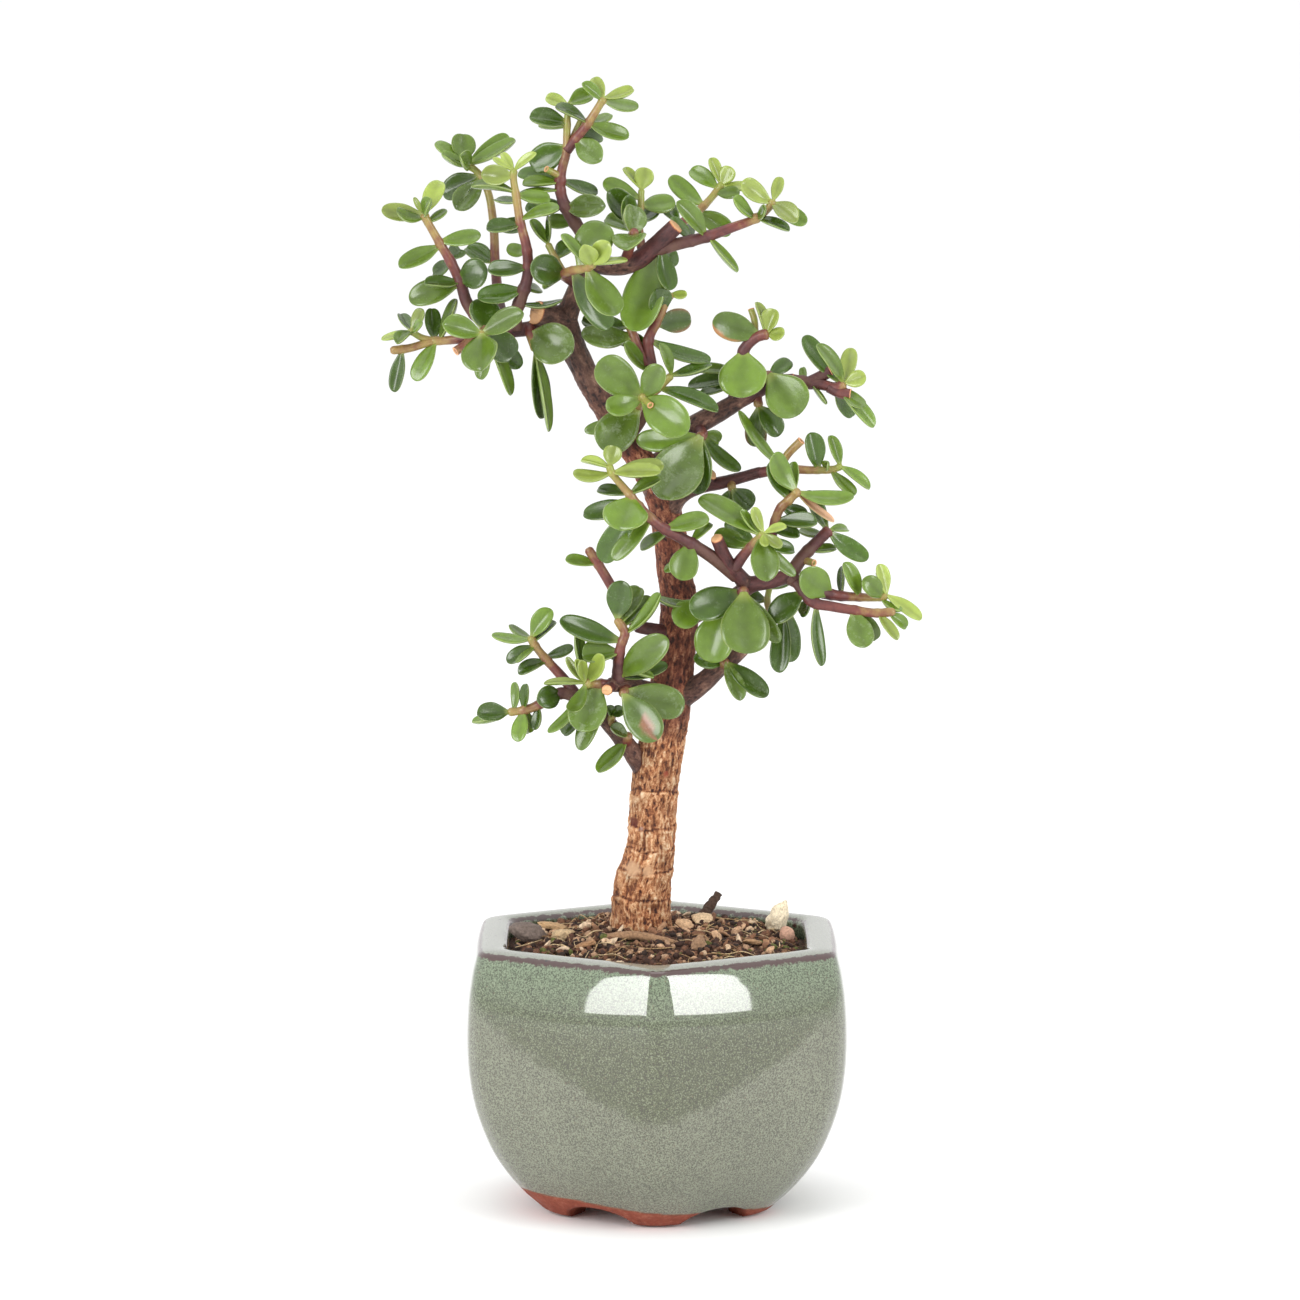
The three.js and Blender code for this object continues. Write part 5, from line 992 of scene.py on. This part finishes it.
def nearest_limb(points, limbs):
    """Each point's limb, and the sample of that limb that it is nearest to for its girth."""
    ratio = np.full(len(points), 1e9)
    owner = np.zeros(len(points), int)
    sample = np.zeros(len(points), int)
    for limb in limbs:
        for start in range(0, len(points), 4000):
            part = slice(start, start + 4000)
            gap = np.linalg.norm(points[part, None, :] - limb["path"][None, :, :], axis=2)
            share = gap / limb["radius"]
            best = share.argmin(axis=1)
            value = share[np.arange(len(best)), best]
            closer = value < ratio[part]
            ratio[part] = np.where(closer, value, ratio[part])
            owner[part] = np.where(closer, limb["number"], owner[part])
            sample[part] = np.where(closer, best, sample[part])
    return owner, sample


def skin_points(mesh):
    """Where each vertex of the skin is (mm), and the way it faces."""
    points, normals = (np.empty(len(mesh.vertices) * 3) for _ in range(2))
    mesh.vertices.foreach_get("co", points)
    mesh.vertices.foreach_get("normal", normals)
    return points.reshape(-1, 3) / MM, normals.reshape(-1, 3)


def place_on_limbs(points, limbs):
    """Each point's limb, its angle round it, the radius there, how far along, and if it is cut."""
    owner, sample = nearest_limb(points, limbs)
    centre, first, second = (np.empty(points.shape) for _ in range(3))
    along, radius, cut = (np.zeros(len(points)) for _ in range(3))
    for limb in limbs:
        mine = owner == limb["number"]
        at = sample[mine]
        centre[mine], radius[mine] = limb["path"][at], limb["radius"][at]
        first[mine], second[mine] = limb["first"][at], limb["second"][at]
        along[mine] = limb["along"][at]
        if limb["cut"]:
            beyond = (points[mine] - limb["path"][-1]) @ limb["tangents"][-1]
            cut[mine] = smoothstep(-0.5, -0.1, beyond)
    offset = points - centre
    angle = np.arctan2((offset * second).sum(1), (offset * first).sum(1))
    return owner, angle, radius, along, cut


def bark_age(height, owner, along, on_trunk):
    """0 for old tan bark, 0.5 for russet bark, 1 for the limbs, 2 for their young ends."""
    russet = smoothstep(RUSSET_FROM, RUSSET_TO, height) * 0.5
    limb_like = smoothstep(LIMB_LIKE_FROM, LIMB_LIKE_TO, height)
    age = np.where(on_trunk, np.maximum(russet, limb_like), 1.0)
    for number, start in YOUNG_FROM.items():
        age = np.where(owner == number, 1 + smoothstep(start, start + 6, along), age)
    return age


def grow_wood(material):
    """The trunk and its limbs: one skin, then bark furrows pushed into it."""
    limbs = limb_points()
    mesh = wood_blank(limbs)
    points, normals = skin_points(mesh)
    height = points[:, 2]
    owner, angle, radius, along, cut = place_on_limbs(points, limbs)
    on_trunk = (owner == 0) & (height < TRUNK_TOP)
    age = bark_age(height, owner, along, on_trunk)
    furrows = bark_furrows(points, angle, radius, along, owner)
    size = np.where(on_trunk, 0.55 - 0.25 * smoothstep(120, 200, height), 0.1)
    depth = furrows * size * (1 - cut) + ring_seams(points, angle) * on_trunk
    moved = points + normals * depth[:, None]
    mesh.vertices.foreach_set("co", (moved * MM).ravel())
    relief = np.clip(furrows * 0.12, -0.2, 0.2) + seam_shade(points, angle) * on_trunk
    write_values(mesh, "grain", [angle * radius, along + owner * 37.0, radius])
    write_values(mesh, "kind", [age, cut, relief])
    write_values(mesh, "scar", scar_colours(points).T)
    mesh.materials.append(material)
    mesh.shade_smooth()
    mesh.name = "trunk_and_limbs"
    place(bpy.data.objects.new("trunk_and_limbs", mesh), ["trunk"])


def scar_colours(points):
    """The colour of the nearest scar, and how strongly it shows, at each point."""
    shades = np.zeros((len(points), 4))
    for middle, reach, colour in SCARS:
        gap = np.linalg.norm((points - middle) * (1, 0.6, 1), axis=1)
        ragged = gap + 0.5 * noise_at(points, 0.9, 12)
        share = smoothstep(reach, reach * 0.5, ragged) * 0.85
        stronger = share > shades[:, 3]
        shades[stronger, :3] = linear(*colour)[:3]
        shades[stronger, 3] = share[stronger]
    return shades


def write_values(mesh, name, columns):
    """One attribute of the mesh: a value, a vector or a colour for each vertex."""
    kind, field = {1: ("FLOAT", "value"), 3: ("FLOAT_VECTOR", "vector"),
                   4: ("FLOAT_COLOR", "color")}[len(columns)]
    layer = mesh.attributes.new(name, kind, "POINT")
    layer.data.foreach_set(field, np.stack(columns, axis=1).ravel())


def bark_furrows(points, angle, radius, along, owner):
    """Furrows that run along the limb, from about -1 to 1."""
    wrapped = np.stack([np.cos(angle) * radius, np.sin(angle) * radius, along * 0.2 + owner * 19],
                       axis=1)
    ridges = 1 - 2 * np.abs(noise_at(wrapped, 1.0, 1)) ** 0.7
    return 0.65 * ridges + 0.5 * noise_at(wrapped, 0.5, 2) + 0.7 * noise_at(points, 3.6, 3)


def seam_distance(points, angle, height):
    """How far a point lies above a wavering seam round the trunk."""
    waver = 0.5 * np.sin(2 * angle + height) + 0.3 * np.sin(5 * angle)
    waver = waver + 0.4 * noise_at(points, 2.5, 9)
    return points[:, 2] - height - waver


def ring_seams(points, angle):
    """Old leaf-joint rings: a narrow groove with a swelling below it."""
    depth = np.zeros(len(points))
    broken = 0.55 + 0.45 * noise_at(points, 3.0, 8)
    for height in RING_HEIGHTS:
        gap = seam_distance(points, angle, height)
        depth += 0.2 * np.exp(-((gap + 0.9) / 0.8) ** 2) - 0.42 * broken * np.exp(-(gap / 0.3) ** 2)
    return depth


def seam_shade(points, angle):
    """How much darker the seams are, and how much paler their edges."""
    shade = np.zeros(len(points))
    broken = 0.5 + 0.5 * noise_at(points, 2.4, 8)
    for height in RING_HEIGHTS:
        gap = seam_distance(points, angle, height)
        pale = np.exp(-((gap + 0.75) / 0.35) ** 2) + 0.7 * np.exp(-((gap - 0.7) / 0.3) ** 2)
        shade += 0.07 * broken * pale - 0.26 * broken * np.exp(-(gap / 0.26) ** 2)
    return shade


# ------------------------------------------------------------------ pot
def plan_reach(angle, high=1.0):
    """How far out the rounded six-sided plan lies, for a wall 1 from the middle."""
    sharpness = CORNER_LOW + (CORNER_HIGH - CORNER_LOW) * high
    facing = np.stack([np.cos(angle - k * 2 * np.pi / POT_SIDES) for k in range(POT_SIDES)])
    flat = (np.clip(facing, 0, None) ** sharpness).sum(0) ** (-1 / sharpness)
    corner = np.pi / POT_SIDES
    aside = (angle + corner) % (2 * corner) - corner
    bow = WALL_BOW * (1 - RIM_STRAIGHTENS * high ** BULGE_POWER)
    return flat * (1 - bow * (np.tan(aside) / np.tan(corner)) ** 2)


def six_sided(radius, height, angle):
    """A point of the round profile carried out to the six-sided plan."""
    blend = smoothstep(HOLE_RADIUS + 5, HOLE_RADIUS + 14, radius)
    share = np.clip(height / RIM_HEIGHT, 0, 1)
    reach = plan_reach(angle, share)
    out = radius * (1 + (reach - 1) * blend)
    return np.stack([out * np.cos(angle), out * np.sin(angle), height + 0 * angle], axis=-1)


def arch_height(x, y):
    """How high the pot's lower edge is lifted where it arches between two feet."""
    lifted = np.zeros_like(x)
    for k in range(POT_SIDES):
        turn = k * 2 * np.pi / POT_SIDES
        forward = x * math.cos(turn) + y * math.sin(turn)
        aside = -x * math.sin(turn) + y * math.cos(turn)
        arch = ARCH_HEIGHT * np.sqrt(np.clip(1 - (aside / ARCH_HALF_WIDTH) ** 2, 0, 1))
        lifted = np.maximum(lifted, np.where(forward > ARCH_INNER, arch, 0))
    return lifted


def dense_profile(outline, spacing):
    """The outline with extra points on a curve through it."""
    route = [(radius, 0, height) for radius, height in outline]
    smooth = smooth_path(route, int(path_length(np.array(route, float)) / spacing))
    return smooth[:, 0], smooth[:, 2]


def pot_profile():
    """The whole closed outline: the flat base, the dense outside and rim, the inside."""
    outside_r, outside_z = dense_profile(WALL[1:WALL_INSIDE], 0.7)
    base_r = np.linspace(WALL[0][0], WALL[1][0], 5)[:-1]
    base_z = np.full(len(base_r), WALL[0][1])
    inner = WALL[WALL_INSIDE:]
    radius = np.concatenate([base_r, outside_r, [r for r, _ in inner]])
    height = np.concatenate([base_z, outside_z, [z for _, z in inner]])
    return radius, height


def pot_rings(radius, height, angle):
    """The outline carried round the pot (rings, around, 3), arched between its feet."""
    rings = []
    for r, z in zip(radius, height):
        ring = six_sided(r, np.full(len(angle), z), angle)
        if r > FOOT_RADIUS and z < 2 * FOOT_HEIGHT:
            ring[:, 2] = np.maximum(ring[:, 2], arch_height(ring[:, 0], ring[:, 1]))
        rings.append(ring)
    return np.array(rings)


def bare_clay(points, radius, outside):
    """1 where the pot has no glaze: the feet, up to a slanting line, and the base between."""
    low = points[:, 2] < FOOT_HEIGHT
    line = CLAY_HEIGHT - CLAY_SLANT * points[:, 0] + 0.5 * noise_at(points, 6.0, 4)
    clay = smoothstep(0.25, -0.25, points[:, 2] - line) * (radius > FOOT_RADIUS)
    clay = np.where(outside | low, clay, 0)
    return np.where((radius < 27) & low, 1, clay)


def throw_pot(material):
    radius, height = pot_profile()
    angle = np.linspace(0, 2 * np.pi, POT_SEGMENTS, endpoint=False)
    around = len(angle)
    points = pot_rings(radius, height, angle).reshape(-1, 3)
    faces = ring_faces(len(radius), around, closed_ends=False)
    last = (len(radius) - 1) * around
    for k in range(around):
        faces.append((last + k, last + (k + 1) % around, (k + 1) % around, k))
    outside = np.arange(len(radius)) <= np.argmax(height > RIM_HEIGHT - 0.1)
    outer = np.exp(-((radius - RIM_OUTER) / 0.9) ** 2) * (height > RIM_HEIGHT - 4) * outside
    inner = 0.85 * np.exp(-((radius - RIM_INNER) / 0.8) ** 2) * (height > RIM_HEIGHT - 3)
    edge = np.repeat(np.maximum(outer, inner), around)
    clay = bare_clay(points, np.repeat(radius, around), np.repeat(outside, around))
    high = np.repeat(height, around)
    parts = MeshParts(parts=3, lip=1)
    parts.add(points, faces, 0, parts=np.stack([edge, clay, high / RIM_HEIGHT], axis=1),
              lip=(high > LIP_HEIGHT)[:, None])
    parts.build("six_sided_pot", [material], "glaze", ["pot"])


# ------------------------------------------------------------------ soil and what lies on it
def soil_surface(x, y):
    """The mound with its lumps and hollows."""
    flat = np.stack([x, y, 0 * x], axis=-1).reshape(-1, 3)
    lumps = 0.9 * noise_at(flat, 7.0, 5) + 0.8 * noise_at(flat, 2.2, 6)
    lumps = (lumps + 0.5 * noise_at(flat, 0.9, 7)).reshape(np.shape(x))
    reach = np.hypot(x, y) / plan_reach(np.arctan2(y, x))
    mound = np.interp(reach, [r for r, _ in SOIL_PROFILE], [z for _, z in SOIL_PROFILE])
    sunk = SOIL_SINKS_BEHIND * smoothstep(24, 40, reach) * smoothstep(2, 22, y)
    return mound + lumps - 0.4 - sunk


def lay_soil(material):
    rings, around = ((90, 240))
    angle = np.linspace(0, 2 * np.pi, around, endpoint=False)
    share = np.linspace(0.01, 1, rings)
    reach = SOIL_EDGE * plan_reach(angle)
    x = share[:, None] * reach * np.cos(angle)
    y = share[:, None] * reach * np.sin(angle)
    top = np.stack([x, y, soil_surface(x, y)], axis=-1)
    skirt = top[-1].copy()
    skirt[:, 2] = SOIL_BOTTOM
    points = np.vstack([top.reshape(-1, 3), skirt])
    faces = [tuple(reversed(face)) for face in ring_faces(rings + 1, around)]
    parts = MeshParts()
    parts.add(points, faces)
    parts.build("peat", [material], "soil", ["soil"])


OCTAHEDRON = ([(1, 0, 0), (-1, 0, 0), (0, 1, 0), (0, -1, 0), (0, 0, 1), (0, 0, -1)],
              [(0, 2, 4), (2, 1, 4), (1, 3, 4), (3, 0, 4), (2, 0, 5), (1, 2, 5), (3, 1, 5),
               (0, 3, 5)])
CRUMB_COLOURS = [(58, 34, 24), (80, 50, 36), (104, 68, 48), (134, 96, 70), (166, 132, 104),
                 (202, 172, 140), (44, 28, 20), (88, 92, 40)]
CRUMB_SHARES = (5, 5, 4, 2.6, 2, 1.2, 5, 1.6)
CRUMB_SIZES = [0.3, 0.35, 0.4, 0.5, 0.6, 0.7, 0.9]
FLAKE_COLOURS = [(196, 158, 124), (166, 126, 94), (134, 94, 68), (214, 188, 158), (112, 76, 54)]
FIBRE_COLOURS = [(188, 156, 112), (206, 180, 138), (150, 116, 80), (120, 88, 60)]
FIBRE_RINGS, FIBRE_AROUND = 14, 5


def split_faces(corners, faces):
    """Each triangle into four."""
    corners = [tuple(corner) for corner in corners]
    middles = {}

    def middle(a, b):
        key = (min(a, b), max(a, b))
        if key not in middles:
            middles[key] = len(corners)
            corners.append(tuple((p + q) / 2 for p, q in zip(corners[a], corners[b])))
        return middles[key]

    made = []
    for a, b, c in faces:
        ab, bc, ca = middle(a, b), middle(b, c), middle(c, a)
        made += [(a, ab, ca), (ab, b, bc), (ca, bc, c), (ab, bc, ca)]
    return np.array(corners, float), made


def ball(splits):
    """A sphere of radius 1, made of an octahedron whose faces are split so many times."""
    corners, faces = OCTAHEDRON
    for _ in range(splits):
        corners, faces = split_faces(corners, faces)
    return unit(corners), faces


def lump(rng, size, rough):
    """An uneven pebble or crumb, turned at random."""
    corners, faces = ball(2)
    corners = corners * (1 + rough * noise_at(corners, 0.8, rng.randint(0, 999)))[:, None]
    heading = Vector((rng.random() - 0.5, rng.random() - 0.5, rng.random() - 0.5))
    turn = np.array(heading.rotation_difference(Vector((0, 0, 1))).to_matrix())
    return (corners * np.array(size)) @ turn.T, faces


def reach_at(x, y):
    """How far out a place on the soil is, as a distance from the middle to the middle of a wall."""
    return math.hypot(x, y) / float(plan_reach(np.array([math.atan2(y, x)]))[0])


def soil_top(x, y):
    return float(soil_surface(np.array([x]), np.array([y]))[0])


def spot_on_soil(rng, margin=1.5):
    """A random place on the soil that is clear of the trunk and the pot's wall."""
    while True:
        x, y = rng.uniform(-45, 45), rng.uniform(-45, 45)
        from_trunk = math.hypot(x - TRUNK_FOOT[0], y - TRUNK_FOOT[1])
        if reach_at(x, y) < SOIL_EDGE - margin - 0.8 and from_trunk > TRUNK_CLEAR:
            return x, y


def add_crumb(parts, rng):
    x, y = spot_on_soil(rng)
    size = rng.choice(CRUMB_SIZES) * rng.uniform(0.8, 1.25)
    shape = [size * rng.uniform(0.7, 1.4) for _ in range(3)]
    points, faces = lump(rng, shape, 0.5)
    colour = linear(*rng.choices(CRUMB_COLOURS, CRUMB_SHARES)[0])
    parts.add(points + (x, y, soil_top(x, y) + size * 0.3), faces, 0, tint=colour)


def add_flake(parts, rng):
    """A small bark flake lying at an odd angle."""
    x, y = spot_on_soil(rng, 3.0)
    long = rng.uniform(0.8, 2.1)
    points, faces = lump(rng, (long, long * rng.uniform(0.4, 0.8), long * 0.28), 0.45)
    colour = linear(*rng.choice(FLAKE_COLOURS))
    parts.add(points + (x, y, soil_top(x, y) + 0.7), faces, 0, tint=colour)


def add_fibre(parts, rng):
    """A straw-coloured root fibre trailing over the soil."""
    x, y = spot_on_soil(rng, 2.0)
    heading, length = rng.uniform(0, 2 * math.pi), rng.uniform(4, 15)
    route = []
    for share in (0, 0.33, 0.66, 1):
        px = x + math.cos(heading) * length * (share - 0.5)
        py = y + math.sin(heading) * length * (share - 0.5)
        heading += rng.uniform(-0.4, 0.4)
        shrink = min(1.0, (SOIL_EDGE - 2.2) / max(reach_at(px, py), 1e-6))
        px, py = px * shrink, py * shrink
        route.append((px, py, soil_top(px, py) + rng.uniform(0.2, 1.6)))
    colour = linear(*rng.choice(FIBRE_COLOURS))
    radii = rng.uniform(0.07, 0.17) * np.sin(np.linspace(0.35, np.pi - 0.35, FIBRE_RINGS)) ** 0.5
    points = tube(smooth_path(route, FIBRE_RINGS), radii, FIBRE_AROUND).reshape(-1, 3)
    parts.add(points, ring_faces(FIBRE_RINGS, FIBRE_AROUND), 0, tint=colour)


LITTER = [
    ("soil_crumbs", "soil", add_crumb, 11, 2600, 250),
    ("bark_flakes", "bark_chip", add_flake, 23, 95, 20),
    ("root_fibres", "root", add_fibre, 37, 190, 12),
]


def scatter_litter(material):
    for name, slot, add_one, seed, count, quick_count in LITTER:
        parts, rng = MeshParts(tint=4), random.Random(seed)
        for _ in range(count):
            add_one(parts, rng)
        parts.build(name, [material], slot)


# name, middle, half-sizes, turn about x, y and z, how rough, colour
LUMPS = [
    ("stone_left", (-35.2, -4, 76.2), (5.2, 3.8, 2.6), (8, 10, 20), 0.3, (112, 98, 90)),
    ("stone_white", (33.4, 9, 78.2), (2.8, 2.4, 4.6), (5, 28, 15), 0.5, (222, 208, 180)),
    ("pebble_pink", (35.6, -1, 75), (2.1, 2.1, 2.2), (0, 0, 0), 0.15, (186, 146, 124)),
    ("pebble_front", (11.4, -23, 75.8), (2.1, 1.8, 2.7), (0, 8, 30), 0.35, (150, 118, 90)),
    ("pebble_tan", (-25.6, -8, 76.2), (3.1, 2.2, 1.5), (10, -12, 0), 0.4, (186, 160, 124)),
    ("bark_chip_1", (-28.5, 6, 76), (4.3, 2.2, 0.8), (12, 10, 20), 0.45, (184, 150, 110)),
    ("bark_chip_2", (12.5, 5, 78.2), (2.8, 2.3, 0.9), (28, -15, 35), 0.5, (206, 178, 142)),
    ("bark_chip_3", (7.6, -3, 78.2), (2.4, 1.6, 0.9), (30, 22, -20), 0.5, (196, 160, 124)),
    ("bark_chip_4", (-19.6, -20, 75.6), (3.4, 1.8, 0.7), (10, -14, -25), 0.45, (150, 112, 78)),
    ("bark_chip_5", (26, -15, 75.4), (3.1, 1.9, 0.7), (-8, 12, 30), 0.45, (160, 126, 92)),
    ("bark_chip_6", (-8, 27, 75.8), (3.6, 2.1, 0.8), (14, 6, -12), 0.45, (168, 134, 98)),
]
LUMP_SLOTS = {"stone_left": "stone_brown", "stone_white": "stone_pale",
              "pebble_pink": "stone_pink", "pebble_front": "stone_brown",
              "pebble_tan": "stone_pale"}
STICK_RINGS, STICK_AROUND = 60, 16
# name, route, radii, colour, slot
STICKS = [
    ("surface_root", [(-14.5, -12.5, 76), (-11, -15, 77), (-6, -16, 77.4), (-1, -17, 76.8),
                      (4, -19, 76), (8, -22, 75)], (1, 1.15, 1.2, 1.15, 1, 0.6),
     (150, 116, 86), "root"),
    ("dead_twig", [(12.5, 22, 75.6), (15, 24.5, 78.6), (17.2, 26.5, 81.4)], (1.5, 1.4, 1.1),
     (78, 58, 46), "dead_twig"),
]


def turned(points, turn):
    """Points turned about x, then y, then z, in degrees."""
    for axis, degrees in enumerate(turn):
        a, b = [(1, 2), (2, 0), (0, 1)][axis]
        sin, cos = math.sin(math.radians(degrees)), math.cos(math.radians(degrees))
        points = points.copy()
        points[:, a], points[:, b] = (points[:, a] * cos - points[:, b] * sin,
                                      points[:, a] * sin + points[:, b] * cos)
    return points


def lay_lump(number, name, middle, size, turn, rough, colour, material):
    """A stone or bark chip in place of the CAD's plain one."""
    corners, faces = ball(4)
    dents = 0.7 * noise_at(corners, 0.9, number) + 0.35 * noise_at(corners, 0.3, number)
    points = corners * (1 + rough * dents)[:, None] * np.array(size)
    points = turned(points, turn) + np.array(middle)
    parts = MeshParts(tint=4)
    parts.add(points, faces, 0, tint=linear(*colour))
    parts.build("litter_" + name, [material], LUMP_SLOTS.get(name, "bark_chip"), [name])


def lay_stick(number, name, route, radii, colour, slot, material):
    """A root or twig lying on the soil, in place of the CAD's plain one."""
    path = smooth_path(route, STICK_RINGS)
    shares = np.linspace(0, 1, STICK_RINGS)
    girth = np.interp(shares, np.linspace(0, 1, len(radii)), radii)
    points = tube(path, girth, STICK_AROUND).reshape(-1, 3)
    middle = np.repeat(path, STICK_AROUND, axis=0)
    dents = 1 + 0.22 * noise_at(points * (1, 1, 2), 1.3, number)
    points = middle + (points - middle) * dents[:, None]
    parts = MeshParts(tint=4)
    parts.add(points, ring_faces(STICK_RINGS, STICK_AROUND), 0, tint=linear(*colour))
    parts.build("litter_" + name, [material], slot, [name])


# ------------------------------------------------------------------ stage
CAMERA_PLACE = (-0.00189, -1.75, 0.396)
CAMERA_TILT = 90 - 7.89
CAMERA_LENS = 179.5
FLOOR_REACH = 30.0
ROOM_STRENGTH = 1.08
WINDOW_SPREAD = math.radians(100)         # keeps most of the windows' light off the floor in front
# name, place and aim, width and height, power
LAMPS = [
    ("window_left", (-0.926, -0.913, 0.56), (0, 0, 0.1), (0.56, 0.92), 3.8),
    ("window_right", (1.027, -0.797, 0.56), (0, 0, 0.1), (0.35, 0.92), 2.6),
    ("overhead", (0.0, 0.1, 1.6), (0, 0, 0.2), (1.0, 1.0), 4.0),
]


def add_to_scene(name, data):
    made = bpy.data.objects.new(name, data)
    bpy.context.scene.collection.objects.link(made)
    return made


def set_stage():
    lay_floor()
    hang_lamps()
    light_room()
    camera = bpy.data.cameras.new("camera")
    camera.lens, camera.sensor_width = CAMERA_LENS, 36
    camera.clip_end = 50
    viewer = add_to_scene("camera", camera)
    viewer.location = CAMERA_PLACE
    viewer.rotation_euler = (math.radians(CAMERA_TILT), 0, 0)
    bpy.context.scene.camera = viewer
    bpy.context.scene.view_settings.view_transform = "Standard"


def lay_floor():
    mesh = bpy.data.meshes.new("floor")
    signs = ((-1, -1), (1, -1), (1, 1), (-1, 1))
    corners = [(x * FLOOR_REACH, y * FLOOR_REACH, 0) for x, y in signs]
    mesh.from_pydata(corners, [], [(0, 1, 2, 3)])
    mesh.materials.append(floor_material())
    add_to_scene("floor", mesh)


def hang_lamps():
    for name, spot, aim, size, power in LAMPS:
        light = bpy.data.lights.new(name, "AREA")
        light.shape, light.size, light.size_y = "RECTANGLE", size[0], size[1]
        light.energy = power
        light.spread = WINDOW_SPREAD if name.startswith("window") else math.pi
        lamp = add_to_scene(name, light)
        lamp.location = spot
        lamp.rotation_euler = (Vector(aim) - Vector(spot)).to_track_quat("-Z", "Y").to_euler()


def light_room():
    """An even white room, a little darker low down on the side that the tree faces."""
    g = Graph(bpy.data.worlds.new("white_room"), "Background")
    heading = g.split(g.node("TexCoord").outputs["Generated"])
    facing = g.step(heading["Y"], -0.75, -0.1, 0.3, 0.0)
    low_down = g.step(heading["Z"], 0.35, 0.8, 1.0, 0.0)
    lifted = g.step(heading["Z"], 0.0, 0.3, -1.0, 1.0)
    dim = g.times(facing, g.times(low_down, lifted))
    g.set(Strength=g.math("SUBTRACT", ROOM_STRENGTH, dim), Color=(1, 1, 1, 1))
    bpy.context.scene.world = g.owner


# ------------------------------------------------------------------ everything
def main():
    set_stage()
    leaf, stem, bark = leaf_material(), stem_material(), bark_material()
    slots = {row["node"]: row["material_slot"] for row in frame["record"]["subparts"]}
    for name, twigs in SHOOTS:
        grow_shoot(name, twigs, [leaf, stem], slots["shoot_" + name])
    grow_wood(bark)
    throw_pot(glaze_material())
    lay_soil(earth_material())
    crumb = crumb_material()
    scatter_litter(crumb)
    for number, lump_row in enumerate(LUMPS):
        lay_lump(number, *lump_row, crumb)
    for number, stick in enumerate(STICKS):
        lay_stick(number, *stick, crumb)
    net = mesh_material()
    for slot in frame["nodes"]["drain_mesh"].material_slots:
        slot.material = net


main()
